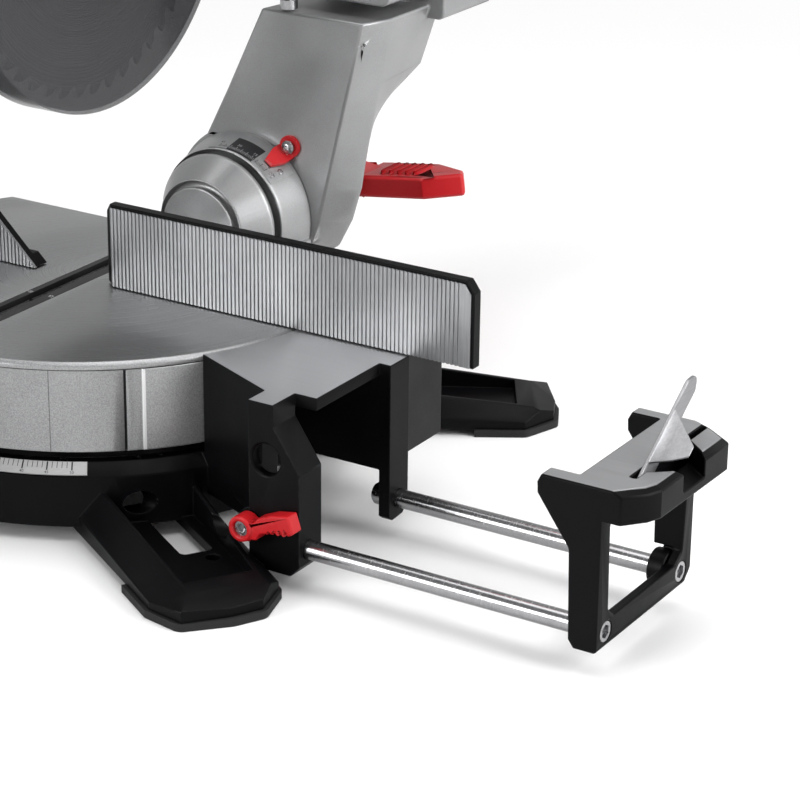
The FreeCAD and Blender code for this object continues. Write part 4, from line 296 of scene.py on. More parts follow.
# The pivot bolt under the table: zinc-plated steel, with the cloudy sheen of barrel plating.
# It holds the table down on the base, and the table turns round it.


def plated_steel(name, dark=(0.36, 0.36, 0.37), light=(0.58, 0.58, 0.59), rough=(0.22, 0.38)):
    """Cloudy plating that is brighter on its edges; rough is its least and most roughness."""
    bright_edge = (0.72, 0.72, 0.73)
    metal = Finish(name)
    edge, round_normal = metal.edges(0.0003)
    cloud = metal.noise(0.005, 4)
    grain = metal.noise(0.0004, 2)
    colour = metal.blend(metal.fade(cloud, 0.3, 0.7), dark, light)
    colour = metal.blend(edge * 0.5, colour, bright_edge)
    return metal.finish(colour, metal.fade(cloud, 0.3, 0.7, *rough), 1.0,
                        metal.bump(grain, 0.00001, 0.6, round_normal))


zinc = plated_steel("zinc_plated_steel")
dress("pivot_bolt", zinc)

# The mitre scale: a thin silver plate on the drum's chamfer, printed black with a tick for each
# degree, longer and bolder ones for each five, and the numbers of the tens and fives below them.


def skin(rings):
    """Mesh through rings of points, each with as many points, closed at both ends."""
    form = bmesh.new()
    loops = [[form.verts.new(point) for point in ring] for ring in rings]
    count = len(loops[0])
    for low, high in zip(loops, loops[1:]):
        for i in range(count):
            j = (i + 1) % count
            form.faces.new((low[i], low[j], high[j], high[i]))
    form.faces.new(loops[0][::-1])
    form.faces.new(loops[-1])
    bmesh.ops.remove_doubles(form, verts=form.verts, dist=1e-7)
    bmesh.ops.recalc_face_normals(form, faces=form.faces)
    mesh = bpy.data.meshes.new("shape")
    form.to_mesh(mesh)
    form.free()
    return mesh


def bar(size, edge):
    """Bar round its own middle, standing on Z 0, with its top edges chamfered."""
    def ring(half_x, half_y, z):
        return [(-half_x, -half_y, z), (half_x, -half_y, z), (half_x, half_y, z), (-half_x, half_y, z)]
    x, y, z = size[0] / 2, size[1] / 2, size[2]
    return skin([ring(x, y, 0), ring(x, y, z - edge), ring(x - edge, y - edge, z)])


def copies_tree():
    """Geometry Nodes that set copies of a mesh in a row or round an axis through the origin."""
    group = bpy.data.node_groups.new("copies", "GeometryNodeTree")
    face = group.interface
    face.new_socket("Shape", in_out="INPUT", socket_type="NodeSocketGeometry")
    for label, kind in (("Count", "Int"), ("Step", "Vector"), ("Turn", "Vector"), ("Spin", "Float"),
                        ("Seed", "Int"), ("Material", "Material")):
        face.new_socket(label, in_out="INPUT", socket_type="NodeSocket" + kind)
    face.new_socket("Geometry", in_out="OUTPUT", socket_type="NodeSocketGeometry")
    tree = Tree(group)
    given = group.nodes.new("NodeGroupInput")
    size = {socket.name: Wire(tree, socket) for socket in given.outputs if socket.name}
    index = tree.node("GeometryNodeInputIndex")
    place = tree.node("ShaderNodeVectorMath", {"operation": "SCALE"}, {0: size["Step"], "Scale": index})
    turn = tree.node("ShaderNodeVectorMath", {"operation": "SCALE"}, {0: size["Turn"], "Scale": index})
    points = tree.node("GeometryNodePoints", None, {"Count": size["Count"], "Position": place})
    row = tree.node("GeometryNodeInstanceOnPoints", None, {
        "Points": points, "Instance": size["Shape"], "Rotation": turn})
    roll = tree.node("FunctionNodeRandomValue", {"data_type": "FLOAT"}, {
        2: 0.0, 3: size["Spin"], "Seed": size["Seed"]}, 1)
    spun = tree.node("ShaderNodeCombineXYZ", None, {2: roll})
    row = tree.node("GeometryNodeRotateInstances", None, {"Instances": row, "Rotation": spun})
    solid = tree.node("GeometryNodeRealizeInstances", None, {"Geometry": row})
    dressed = tree.node("GeometryNodeSetMaterial", None, {"Geometry": solid, "Material": size["Material"]})
    end = group.nodes.new("NodeGroupOutput")
    tree.feed(end.inputs[0], dressed)
    return group


copies_group = copies_tree()


def copies(shape, material, count, step=(0, 0, 0), turn=(0, 0, 0), spin=0.0, seed=5):
    """Plain mesh of count copies of a shape, each moved on by step and turned on by turn in degrees.

    Each is also rolled about its own axis by a random angle of up to spin, in radians.
    """
    host = bpy.data.objects.new("copies", shape)
    bpy.context.scene.collection.objects.link(host)
    modifier = host.modifiers.new("copies", "NODES")
    modifier.node_group = copies_group
    sizes = {"Count": count, "Step": step, "Turn": [math.radians(part) for part in turn], "Spin": spin,
             "Seed": seed, "Material": material}
    for socket in copies_group.interface.items_tree:
        if socket.name in sizes:
            modifier[socket.identifier] = sizes[socket.name]
    made = bpy.data.meshes.new_from_object(host.evaluated_get(bpy.context.evaluated_depsgraph_get()))
    host.modifiers.remove(modifier)
    bpy.data.objects.remove(host)
    return made


def assemble(name, body, parts):
    """One piece from (mesh, matrix, material) parts, riding on a body."""
    form = bmesh.new()
    materials = []
    for mesh, matrix, material in parts:
        if material not in materials:
            materials.append(material)
        first = len(form.faces)
        moved = mesh.copy()
        moved.transform(matrix)
        form.from_mesh(moved)
        form.faces.ensure_lookup_table()
        for i in range(first, len(form.faces)):
            form.faces[i].material_index = materials.index(material)
        bpy.data.meshes.remove(moved)
    whole = bpy.data.meshes.new(name)
    form.to_mesh(whole)
    form.free()
    for material in materials:
        whole.materials.append(material)
    piece = bpy.data.objects.new(name, whole)
    bpy.context.scene.collection.objects.link(piece)
    shade_by_angle(piece)
    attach(piece, body)
    return piece


ink_relief = 0.00003
capital_share = 0.7


def label_text(text, height):
    """Flat number of that height as a mesh, centred on the origin."""
    curve = bpy.data.curves.new("number", "FONT")
    curve.body = text
    curve.size = height / capital_share
    curve.align_x = "CENTER"
    curve.align_y = "CENTER"
    curve.extrude = ink_relief
    curve.resolution_u = 3
    writer = bpy.data.objects.new("number", curve)
    bpy.context.scene.collection.objects.link(writer)
    mesh = bpy.data.meshes.new_from_object(writer.evaluated_get(bpy.context.evaluated_depsgraph_get()))
    bpy.data.objects.remove(writer)
    return mesh


def machined(name, dark, light, run, rough=(0.30, 0.44), metallic=0.9):
    """Bare machined metal with fine lines that run along the axis with the small factor in run."""
    metal = Finish(name)
    lines = metal.noise(0.0012, 3, 0.6, metal.stretched(*run))
    stain = metal.noise(0.03, 3)
    colour = metal.blend(metal.fade(lines * 0.7 + stain * 0.5, 0.35, 0.85), dark, light)
    return metal.finish(colour, metal.fade(lines, 0.3, 0.7, *rough), metallic,
                        metal.bump(lines, 0.00002, 0.5))


dress("mitre_scale", machined("mitre_scale_silver", (0.40, 0.40, 0.40), (0.50, 0.50, 0.50),
                              run=(0.2, 0.2, 1), rough=(0.42, 0.55), metallic=0.35))
ink = Finish("scale_ink")
blotch = ink.noise(0.0005, 3)
scale_ink = ink.finish(ink.blend(blotch, (0.006, 0.006, 0.007), (0.0136, 0.0136, 0.0152)),
                       ink.fade(blotch, 0.3, 0.7, 0.42, 0.56), 0.0, ink.bump(blotch, 0.00001, 0.4))
scale_turn = -18
scale_reach = 50
scale_low = Vector((0, -0.1819, 0.0452))
scale_high = Vector((0, -0.1756, 0.0515))
scale_up = (scale_high - scale_low).normalized()
scale_out = Vector((0, -0.7071, 0.7071))
tick_thickness = 0.00004
tick_margin = 0.0002
fine_tick = (0.0004, 0.0042)
bold_tick = (0.0009, 0.0056)
scale_number_height = 0.0019
scale_number_drop = 0.0073


def on_scale(angle, down):
    """Matrix of a mark on the scale, at that angle from the front and that far below its top edge."""
    place = scale_high - scale_up * down
    axes = Matrix((Vector((1, 0, 0)), scale_up, scale_out)).transposed().to_4x4()
    return Matrix.Rotation(math.radians(angle), 4, "Z") @ Matrix.Translation(place) @ axes


def scale_tick(width, length):
    """The leftmost tick, from which the others are turned on."""
    tick = bar((width, length, tick_thickness), tick_thickness / 4)
    tick.transform(on_scale(scale_turn - scale_reach, tick_margin + length / 2))
    return tick


still = Matrix.Identity(4)
marks = []
for tick_size, spacing in ((fine_tick, 1), (bold_tick, 5)):
    row = copies(scale_tick(*tick_size), scale_ink, 2 * scale_reach // spacing + 1, turn=(0, 0, spacing))
    marks.append((row, still, scale_ink))
for value in range(-scale_reach, scale_reach + 1, 5):
    number = label_text(str(abs(value)), scale_number_height)
    marks.append((number, on_scale(value + scale_turn, scale_number_drop), scale_ink))
assemble("mitre_scale_marks", "base", marks)

# The fence: two black cast halves, each with a bright ribbed face plate and two socket-head
# bolts through slots in its foot, so that it can be set square to the blade.
fence_paint = black_casting("fence_black_powder_coat")
face_metal = machined("fence_face_aluminium", (0.30, 0.305, 0.315), (0.47, 0.475, 0.485), run=(1, 1, 0.04))
for side in ("left", "right"):
    dress("fence_" + side, fence_paint)
    dress("fence_face_" + side, face_metal)
    eased("fence_" + side, 0.0006)

key_points = 24
key_step = 360 / key_points
key_cross = (1, 1.03, 0.52, 0.37, 0.52, 1.03)
key_slot = (1, 1.02, 0.34, 0.24, 0.20, 0.17, 0.17)


def key_outline(kind, across):
    """Radii of a driver recess, a hexagon, a cross or a slot, at key_points even steps."""
    half = key_points // 2
    shares = {
        "hex": [1 / math.cos(math.radians((key_step * i + 30) % 60 - 30)) for i in range(key_points)],
        "cross": [key_cross[i % len(key_cross)] for i in range(key_points)],
        "slot": [key_slot[min(i % half, half - i % half)] for i in range(key_points)]}
    return [across / 2 * share for share in shares[kind]]


def screw(radius, head, shank, length, kind, across, dome=0.12):
    """Screw with its head's top at Z 0, a driver recess in it and its shank below.

    dome is how far the head's edge is rounded, as a share of its radius.
    """
    def ring(radii, z):
        return [(r * math.cos(math.radians(key_step * i)), r * math.sin(math.radians(key_step * i)), z)
                for i, r in enumerate(radii)]

    def circle(r, z):
        return ring([r] * key_points, z)

    key = key_outline(kind, across)
    crown = max(radius * (1 - dome * 2.2), max(key) * 1.12)
    return skin([
        circle(shank, -length), circle(shank, -head), circle(radius, -head),
        circle(radius, -radius * dome * 1.6), circle(radius * (1 - dome), -radius * dome * 0.35),
        circle(crown, 0), ring(key, 0), ring([r * 0.94 for r in key], -head * 0.55),
        circle(across * 0.04, -head * 0.62)])


free_spin = 3.1
bolt_spacing = 0.046
first_bolts = (-0.236, 0.19)
bolt_low, bolt_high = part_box("fence_bolts")
bolt_y = (bolt_low.y + bolt_high.y) / 2
fence_bolt = screw(radius=(bolt_high.y - bolt_low.y) / 2, head=0.008, shank=0.004,
                   length=bolt_high.z - bolt_low.z, kind="hex", across=0.0085)
pair = copies(fence_bolt, zinc, 2, step=(bolt_spacing, 0, 0), spin=free_spin)
bolts = assemble("fence_bolts_cut", "base", [
    (pair, Matrix.Translation((first, bolt_y, bolt_high.z)), zinc) for first in first_bolts])
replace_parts(bolts, "fence_bolts")

# The turntable: an aluminium casting in a speckled grey paint, its disc turned bright on top,
# with a rim, a skirt and the nose that carries the lock. The skirt shows the dark joints of its
# side panels, a painted highlight strip beside one, and a painted shadow line under the rim.
skirt_low, skirt_high = 0.058, 0.1112
panel_joint = (42.75, 43.25)
narrow_joint = (27.6, 27.75)
# A painted highlight: the angles of a near-white strip on the skirt, where a panel's edge would catch the
# light.
highlight_strip_angles = (46.5, 47.1)
# A painted shadow: the heights of a dark band under the rim, and the radii over which it comes in.
rim_shadow_heights = (0.1115, 0.1121)
rim_shadow_radii = (0.1735, 0.174)


def grey_casting(name, ground_above=None, speckle=1.0):
    """Grey paint with metal flakes. The table's casting also has its turned top, its joints, a painted shadow
    under the rim and a painted highlight strip.
    """
    coat_dark, coat_light = (0.25, 0.252, 0.256), (0.47, 0.473, 0.478)
    bright_flake, bright_edge = (0.66, 0.662, 0.668), (0.66, 0.665, 0.67)
    turned_dark, turned_light = (0.33, 0.335, 0.34), (0.52, 0.525, 0.53)
    # The joints and the painted shadow under the rim share one near-black; the painted highlight strip is
    # near-white.
    joint_and_shadow_black, painted_highlight_white = (0.012, 0.012, 0.014), (0.82, 0.825, 0.83)
    edge_width, speck_size, flake_size, turning_pitch = 0.0009, 0.00085, 0.0011, 0.00067
    paint = Finish(name)
    edge, round_normal = paint.edges(edge_width)
    cloud = paint.noise(0.05, 3)
    speck = paint.noise(speck_size, 3, 0.7)
    flake = paint.cells(flake_size)
    tone = paint.fade((speck - 0.5) * speckle + 0.5 + cloud * 0.25, 0.42, 0.82)
    colour = paint.blend(tone, coat_dark, coat_light)
    colour = paint.blend(paint.fade(flake, 0.16, 0.05) * speckle, colour, bright_flake)
    colour = paint.blend(edge * 0.5, colour, bright_edge)
    rough = paint.fade(speck, 0.3, 0.7, 0.30, 0.44)
    metal = 0.55
    height = speck
    if ground_above is not None:
        level = paint.along("Z")
        from_middle = paint.reach((0, 0, 0), (1, 1, 0))
        ground = (paint.fade(level, ground_above - 0.0008, ground_above - 0.0005)
                  * paint.fade(paint.upward(), 0.9, 0.97))
        rings = paint.rings(from_middle, turning_pitch)
        bright = paint.blend(rings * 0.7 + cloud * 0.3, turned_dark, turned_light)
        colour = paint.blend(ground, colour, bright)
        rough = rough + ground * (paint.fade(rings, 0.3, 0.7, 0.26, 0.38) - rough)
        metal = ground * 0.4 + metal
        height = height * (1 - ground) + rings * ground * 0.5
        turned = paint.maths("ARCTAN2", paint.along("X"), 0 - paint.along("Y"))
        bearing = paint.maths("ABSOLUTE", turned) * (180 / math.pi)
        side = paint.band(level, skirt_low, skirt_high, 0.0002)
        joints = paint.band(bearing, *panel_joint, 0.05) + paint.band(bearing, *narrow_joint, 0.04) * 0.6
        # Painted shadow: a dark band on the skirt just under the rim, where the rim's shade falls.
        rim_shadow_mask = paint.band(level, *rim_shadow_heights, 0.0001) * paint.fade(from_middle, *rim_shadow_radii)
        dark = paint.maths("MAXIMUM", joints * side, rim_shadow_mask)
        colour = paint.blend(dark, colour, joint_and_shadow_black)
        # Painted highlight: a near-white strip down the skirt beside the panel joint.
        colour = paint.blend(paint.band(bearing, *highlight_strip_angles, 0.1) * side, colour, painted_highlight_white)
    return paint.finish(colour, rough, metal, paint.bump(height, 0.00005, 0.5, round_normal))


dress("turntable", grey_casting("turntable_grey_paint", table_top))
eased("turntable", 0.0005)

# Two kerf plates either side of the blade's slot: black nylon, moulded with a spark-eroded
# grain, and screwed down in a recess so that they lie level with the table.


def moulded(name, shade, deep, rough=(0.30, 0.42)):
    """Moulded nylon with a fine grain; rough is its least and most roughness."""
    plastic = Finish(name)
    edge, round_normal = plastic.edges(0.0006)
    cloud = plastic.noise(0.03, 3)
    grain = plastic.noise(0.0007, 2)
    colour = plastic.blend(cloud, deep, shade)
    colour = plastic.blend(edge * 0.25, colour, tuple(min(1, part * 1.25 + 0.01) for part in shade))
    return plastic.finish(colour, plastic.fade(cloud * 0.6 + grain * 0.4, 0.35, 0.65, *rough), 0.0,
                          plastic.bump(grain, 0.00003, 0.45, round_normal), Specular_IOR_Level=0.4)


black_plastic = moulded("black_nylon", (0.012, 0.012, 0.013), (0.008, 0.008, 0.0085), rough=(0.38, 0.52))
dress("kerf_plate_left", black_plastic)
dress("kerf_plate_right", black_plastic)

# The table's fasteners, all zinc-plated steel: four small cross-head screws in each kerf plate,
# four socket-head bolts through the bevel hub's flange, the mitre pointer's pan-head screw and
# the detent lever's hinge pin.


def at(place, facing=(0, 0, 1)):
    """Matrix that sets a shape's origin at place with its Z axis along facing."""
    return Matrix.Translation(place) @ Vector(facing).to_track_quat("Z", "Y").to_matrix().to_4x4()


plate_screw = screw(radius=0.00195, head=0.0016, shank=0.0013, length=0.0095, kind="cross", across=0.0026,
                    dome=0.06)
plate_screw_x = 0.00845
plate_screw_rows = (-0.248, -0.178, -0.060, 0.084)
plate_screw_top = 0.11695
hub_bolt = screw(radius=0.0055, head=0.006, shank=0.003, length=0.031, kind="hex", across=0.005)
hub_bolt_spacing = 0.020
first_hub_bolts = (-0.024, 0.044)
hub_bolt_y, hub_bolt_z = 0.099, 0.076
pointer_screw = screw(radius=0.0042, head=0.003, shank=0.002, length=0.009, kind="cross", across=0.0052,
                      dome=0.22)
pointer_angle = math.radians(scale_turn)
pointer_out = Vector((math.sin(pointer_angle), -math.cos(pointer_angle), 0))
pointer_screw_place = pointer_out * 0.1812 + Vector((0, 0, 0.070))
hinge_pin = screw(radius=0.002, head=0.002, shank=0.002, length=0.034, kind="hex", across=0.0004, dome=0.1)
hinge_pin_end = (0.017, -0.236, 0.0556)
fittings = [(plate_screw, at((x, y, plate_screw_top)), zinc)
            for x in (-plate_screw_x, plate_screw_x) for y in plate_screw_rows]
hub_pair = copies(hub_bolt, zinc, 2, step=(hub_bolt_spacing, 0, 0), spin=free_spin, seed=8)
for first in first_hub_bolts:
    fittings.append((hub_pair, at((first, hub_bolt_y, hub_bolt_z), (0, -1, 0)), zinc))
fittings.append((pointer_screw, at(pointer_screw_place, pointer_out), zinc))
fittings.append((hinge_pin, at(hinge_pin_end, (1, 0, 0)), zinc))
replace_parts(assemble("table_screws_cut", "turntable", fittings), "table_screws")

# The mitre pointer: a tongue moulded in red nylon, screwed to the table's skirt. It hangs over
# the scale and turns with the table.
red_plastic = moulded("red_nylon", (0.62, 0.012, 0.018), (0.50, 0.008, 0.012))
dress("mitre_pointer", red_plastic)

# The detent lever and the lock: a bent steel sheet, a plated rod and a lobed black knob whose
# skin has a fine pebble grain.
dress("detent_lever", zinc)
dress("lock_rod", zinc)


def grip(name, rib, axis="Y"):
    """Soft grip: matt black rubber skin with shallow ribs across an axis, rib metres apart."""
    shade = (0.010, 0.010, 0.011)
    bloom = tuple(part * 1.7 for part in shade)
    soft = Finish(name)
    wave = soft.maths("SINE", soft.along(axis) * (2 * math.pi / rib))
    pebble = soft.cells(0.0011)
    mottle = soft.noise(0.02, 3)
    relief = soft.fade(wave, -0.2, 0.6) * 0.8 + pebble * 0.5
    return soft.finish(soft.blend(mottle, shade, bloom), soft.fade(mottle, 0.3, 0.7, 0.50, 0.66), 0.0,
                       soft.bump(relief, 0.0005, 0.5), Specular_IOR_Level=0.35)


dress("mitre_knob", grip("knob_soft_grip", rib=0.0032))
eased("mitre_knob", 0.0015)

# The bevel hub: the smooth cone behind the table that the arm turns on, cast and painted like
# the table, with a bevel scale on its upper right.
arm_paint = grey_casting("arm_grey_paint", speckle=0.3)
dress("bevel_hub", arm_paint)
eased("bevel_hub", 0.001)

# The bevel scale: a curved silver plate with a dark printed field, fine ticks along its front
# edge with their numbers, and two bright pan-head screws at its lower end.
bevel_axis = Vector((0, 0, 0.113))
scale_front, scale_rear = (corner.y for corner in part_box("bevel_scale"))


def scale_radius(y):
    """Outer radius of the bevel scale's plate at that Y."""
    near = [Vector((v.co.x, 0, v.co.z)) - bevel_axis for v in nodes["bevel_scale"].data.vertices
            if abs(v.co.y - y) < 0.001]
    return max(point.length for point in near)


radius_front, radius_rear = scale_radius(scale_front), scale_radius(scale_rear)
slope = math.atan2(radius_rear - radius_front, scale_rear - scale_front)
field_from, field_to = 3.5, 27.5
field_rear = 0.1615


def scale_field(finish):
    """Share of the dark printed field, between two angles from the vertical towards +X."""
    angle = finish.maths("ARCTAN2", finish.along("X"), finish.along("Z") - bevel_axis.z) * (180 / math.pi)
    before = finish.fade(finish.along("Y"), field_rear, field_rear + 0.0005, 1.0, 0.0)
    return finish.band(angle, field_from, field_to, 0.4) * before


label = Finish("bevel_label_silver")
field = scale_field(label)
brush = label.noise(0.0007, 3, 0.6, label.stretched(0.25, 1, 0.25))
cloud = label.noise(0.012, 3)
silver = label.blend(brush * 0.6 + cloud * 0.5, (0.30, 0.305, 0.31), (0.52, 0.525, 0.53))
field_ink = label.blend(cloud, (0.006, 0.006, 0.007), (0.012, 0.012, 0.014))
dress("bevel_scale", label.finish(
    label.blend(field, silver, field_ink), label.fade(brush, 0.3, 0.7, 0.30, 0.42), (1 - field) * 0.85,
    label.bump(brush, 0.00001, 0.4)))
tick_ink = Finish("bevel_tick_ink")
fleck = tick_ink.noise(0.0005, 2)
tick_tone = tick_ink.blend(scale_field(tick_ink), (0.02, 0.02, 0.022), (0.30, 0.30, 0.31))
bevel_ink = tick_ink.finish(tick_ink.blend(fleck * 0.3, tick_tone, (0.12, 0.12, 0.12)),
                            tick_ink.fade(fleck, 0.3, 0.7, 0.4, 0.5), 0.0, tick_ink.bump(fleck, 0.00001, 0.3))


def on_label(degrees, y, lift=0.0):
    """Matrix of a mark on the label: its Y axis runs to the rear along the cone."""
    reach = radius_front + (y - scale_front) * math.tan(slope) + lift
    back = Vector((0, math.cos(slope), math.sin(slope)))
    out = Vector((0, -math.sin(slope), math.cos(slope)))
    axes = Matrix((Vector((1, 0, 0)), back, out)).transposed().to_4x4()
    return (Matrix.Translation(bevel_axis) @ Matrix.Rotation(math.radians(degrees), 4, "Y")
            @ Matrix.Translation((0, y, reach)) @ axes)


first_bevel_tick = -5
bevel_reach = 45
bevel_fine_tick = (0.00025, 0.0026)
bevel_bold_tick = (0.0004, 0.0042)
bevel_tick_thickness = 0.00005
bevel_tick_margin = 0.0012
bevel_number_height = 0.0024
bevel_number_back = 0.0075
bevel_zero = 40
label_screw_places = ((46, 0.1505), (47, 0.1585))


def bevel_tick(width, length):
    """The first tick, held about the origin, from which the others are turned on."""
    tick = bar((width, length, bevel_tick_thickness), bevel_tick_thickness / 5)
    place = on_label(first_bevel_tick, scale_front + bevel_tick_margin + length / 2)
    tick.transform(Matrix.Translation(-bevel_axis) @ place)
    return tick


hung = Matrix.Translation(bevel_axis)
marks = []
for tick_size, spacing in ((bevel_fine_tick, 1), (bevel_bold_tick, 5)):
    row = copies(bevel_tick(*tick_size), bevel_ink, bevel_reach // spacing + 1, turn=(0, spacing, 0))
    marks.append((row, hung, bevel_ink))
for value in (0, 15, 30, 45):
    number = label_text(str(value), bevel_number_height)
    marks.append((number, on_label(bevel_zero - value, scale_front + bevel_number_back), bevel_ink))
label_screw = screw(radius=0.0024, head=0.0011, shank=0.001, length=0.0016, kind="cross", across=0.0026,
                    dome=0.25)
for degrees, y in label_screw_places:
    marks.append((label_screw, on_label(degrees, y, lift=0.0010), zinc))
assemble("bevel_scale_marks", "turntable", marks)

# The tilting arm: a heavy grey casting whose upper block holds the rails' bushes, with a red
# moulded pointer that a bright domed screw holds on.
dress("tilt_arm", arm_paint)
eased("tilt_arm", 0.0015)
dress("bevel_pointer", red_plastic)
dress("arm_hardware", zinc)
domed_screw = screw(radius=0.0050, head=0.0022, shank=0.003, length=0.0026, kind="cross", across=0.0038,
                    dome=0.30)
domed_screw_place = (0.040, 0.1657, 0.1661)
assemble("pointer_dome", "bevel_arm", [(domed_screw, at(domed_screw_place, (0, -1, 0)), zinc)])

# Rail bushes: black nylon rings pressed into the arm's block, each with a rubber wiper lip that
# keeps sawdust off the rails.
dress("rail_bushes", black_plastic)


def hoop(inner, outer, thick, edge, count=40):
    """Closed ring round Z, standing on Z 0, with chamfered edges."""
    profile = [(inner, edge), (inner + edge, 0), (outer - edge, 0), (outer, edge),
               (outer, thick - edge), (outer - edge, thick), (inner + edge, thick), (inner, thick - edge)]
    form = bmesh.new()
    turns = [2 * math.pi * i / count for i in range(count)]
    loops = [[form.verts.new((r * math.cos(turn), r * math.sin(turn), z)) for turn in turns]
             for r, z in profile]
    for k, low_ring in enumerate(loops):
        high_ring = loops[(k + 1) % len(loops)]
        for i in range(count):
            j = (i + 1) % count
            form.faces.new((low_ring[i], low_ring[j], high_ring[j], high_ring[i]))
    bmesh.ops.recalc_face_normals(form, faces=form.faces)
    mesh = bpy.data.meshes.new("hoop")
    form.to_mesh(mesh)
    form.free()
    return mesh


rail_x, rail_z = 0.040, 0.290
rail_spacing = 0.056
block_faces = (0.2460, 0.3516)
lip_rubber = rubber("wiper_rubber")
wiper = hoop(inner=0.0128, outer=0.0150, thick=0.0016, edge=0.0005)
lips = copies(wiper, lip_rubber, 2, step=(rail_spacing, 0, 0))
upright = Matrix.Rotation(math.radians(90), 4, "X")
assemble("rail_wipers", "bevel_arm", [
    (lips, Matrix.Translation((rail_x, y, rail_z)) @ upright, lip_rubber) for y in block_faces])

# The bevel lever: a paddle moulded in red nylon with soft corners, on the end of the clamp bolt
# that locks the arm's tilt.
dress("bevel_lever", red_plastic)
eased("bevel_lever", 0.0025)

# The slide lock: a small black lobed knob on the side of the arm's block, whose screw presses
# on a rail.
dress("slide_lock_knob", grip("slide_knob_grip", rib=0.0026, axis="X"))
eased("slide_lock_knob", 0.0012)

# Carriage and rails: a grey casting on two hard chromed rails that run through the arm and
# end in a black nylon bracket. The rails are ground round their length.
dress("carriage", arm_paint)
eased("carriage", 0.0015)


def ground_rod(name, run, light=(0.56, 0.56, 0.57)):
    """Rod ground round its length, with fine marks round it; run has its large factor along the rod."""
    dark = (0.34, 0.34, 0.35)
    metal = Finish(name)
    rings = metal.noise(0.0012, 3, 0.5, metal.stretched(*run))
    cloud = metal.noise(0.02, 3)
    colour = metal.blend(metal.fade(rings * 0.6 + cloud * 0.5, 0.30, 0.80), dark, light)
    return metal.finish(colour, metal.fade(rings, 0.3, 0.7, 0.20, 0.28), 1.0,
                        metal.bump(rings, 0.000002, 0.5))


dress("slide_rails", ground_rod("rail_hard_chrome", run=(0.3, 1, 0.3)))
dress("rail_end_bracket", black_plastic)
eased("rail_end_bracket", 0.002)
dress("chop_shaft", zinc)
dress("depth_stop", zinc)
dress("head_lock_pin", zinc)
dress("return_spring", plated_steel("oiled_spring_steel", (0.08, 0.08, 0.085), (0.15, 0.15, 0.155),
                                    rough=(0.30, 0.45)))

# The head's castings: the gear housing and the upper guard over the blade, both aluminium in
# the arm's grey paint. The housing's corners are generously rounded, the guard's rim is thin.
dress("gear_housing", arm_paint)
eased("gear_housing", 0.003)
dress("upper_guard", arm_paint)
eased("upper_guard", 0.0008)

# The dust port and the motor: black nylon. The motor's end cap is red, with a ring of fins for
# the cooling air, and its two brush caps have a coin slot. The mains cord enters by a rubber gland.
dress("dust_port", black_plastic)
eased("dust_port", 0.0008)
dress("motor_housing", moulded("motor_black_nylon", (0.014, 0.014, 0.015), (0.010, 0.010, 0.0105),
                               rough=(0.36, 0.48)))
eased("motor_housing", 0.0008)
dress("motor_cap", red_plastic)
eased("motor_cap", 0.001)


def lathe(profile, count=32):
    """Mesh turned round Z from (radius, height) points."""
    turns = [2 * math.pi * i / count for i in range(count)]
    return skin([[(r * math.cos(turn), r * math.sin(turn), z) for turn in turns] for r, z in profile])


cap_low, cap_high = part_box("motor_cap")
cap_middle = (cap_low + cap_high) / 2
cap_sink = 0.0001
fin_size = (0.0016, 0.020, 0.0012)
fin_edge = 0.0004
fin_from_middle = 0.031
fin_count = 24
fin = bar(fin_size, fin_edge)
fin.transform(Matrix.Translation((0, fin_from_middle, 0)))
fins = copies(fin, red_plastic, fin_count, turn=(0, 0, 360 / fin_count))
button = lathe([(0.013, 0), (0.013, 0.0010), (0.0118, 0.0016), (0.004, 0.0016)])
cap_face = at((cap_high.x - cap_sink, cap_middle.y, cap_middle.z), (1, 0, 0))
assemble("motor_cap_fins", "head", [
    (fins, cap_face, red_plastic), (button, cap_face, red_plastic)])
brush_low, brush_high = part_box("brush_caps")
brush_place = (brush_low + brush_high) / 2
brush_cap = screw(radius=0.0079, head=0.0165, shank=0.0079, length=0.0166, kind="slot", across=0.0125,
                  dome=0.10)
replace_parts(assemble("brush_caps_cut", "head", [
    (brush_cap, at((brush_place.x, brush_low.y, brush_place.z), (0, -1, 0)), black_plastic),
    (brush_cap, at((brush_place.x, brush_high.y, brush_place.z), (0, 1, 0)), black_plastic)]), "brush_caps")
dress("cord_gland", rubber("gland_rubber"))

# The handles: black nylon with a soft ribbed grip moulded over it, so that all their edges flow
# together. The trigger and the lock-off button are red nylon.


def melted(name, cell, passes):
    """Shows the CAD node remeshed in cells of that size and smoothed, so that its edges flow together."""
    piece = twin_of(name, "soft")
    remesh = piece.modifiers.new("cells", "REMESH")
    remesh.mode = "VOXEL"
    remesh.voxel_size = cell
    remesh.use_smooth_shade = True
    ease = piece.modifiers.new("ease", "SMOOTH")
    ease.factor = 0.5
    ease.iterations = passes
    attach(piece, home[name])


handle_rib = 0.0062
dress("main_handle", grip("handle_soft_grip", handle_rib))
melted("main_handle", cell=0.0013, passes=5)
dress("carry_handle", grip("carry_soft_grip", handle_rib))
melted("carry_handle", cell=0.0014, passes=6)
dress("trigger", red_plastic)
dress("lock_off_button", red_plastic)

# The blade: ground tool steel with rings from the grinder and 48 brazed carbide teeth, clamped
# between two flanges on the arbor by a left-hand bolt.
arbor_z = 0.364
carbide_from = 0.1215
steel = Finish("blade_ground_steel")
from_arbor = steel.reach((0, 0, arbor_z), (0, 1, 1))
grinding = steel.rings(from_arbor, 0.0006)
haze = steel.noise(0.03, 3)
carbide = steel.fade(from_arbor, carbide_from, carbide_from + 0.0007)
blade_tone = steel.blend(grinding * 0.6 + haze * 0.4, (0.34, 0.34, 0.35), (0.54, 0.54, 0.55))
blade_tone = steel.blend(carbide, blade_tone, (0.24, 0.24, 0.25))
dress("saw_blade", steel.finish(blade_tone, steel.fade(grinding, 0.3, 0.7, 0.22, 0.34) + carbide * 0.1, 1.0,
                                steel.bump(grinding, 0.00001, 0.4)))
for name in ("arbor_shaft", "blade_flanges", "arbor_bolt"):
    dress(name, zinc)

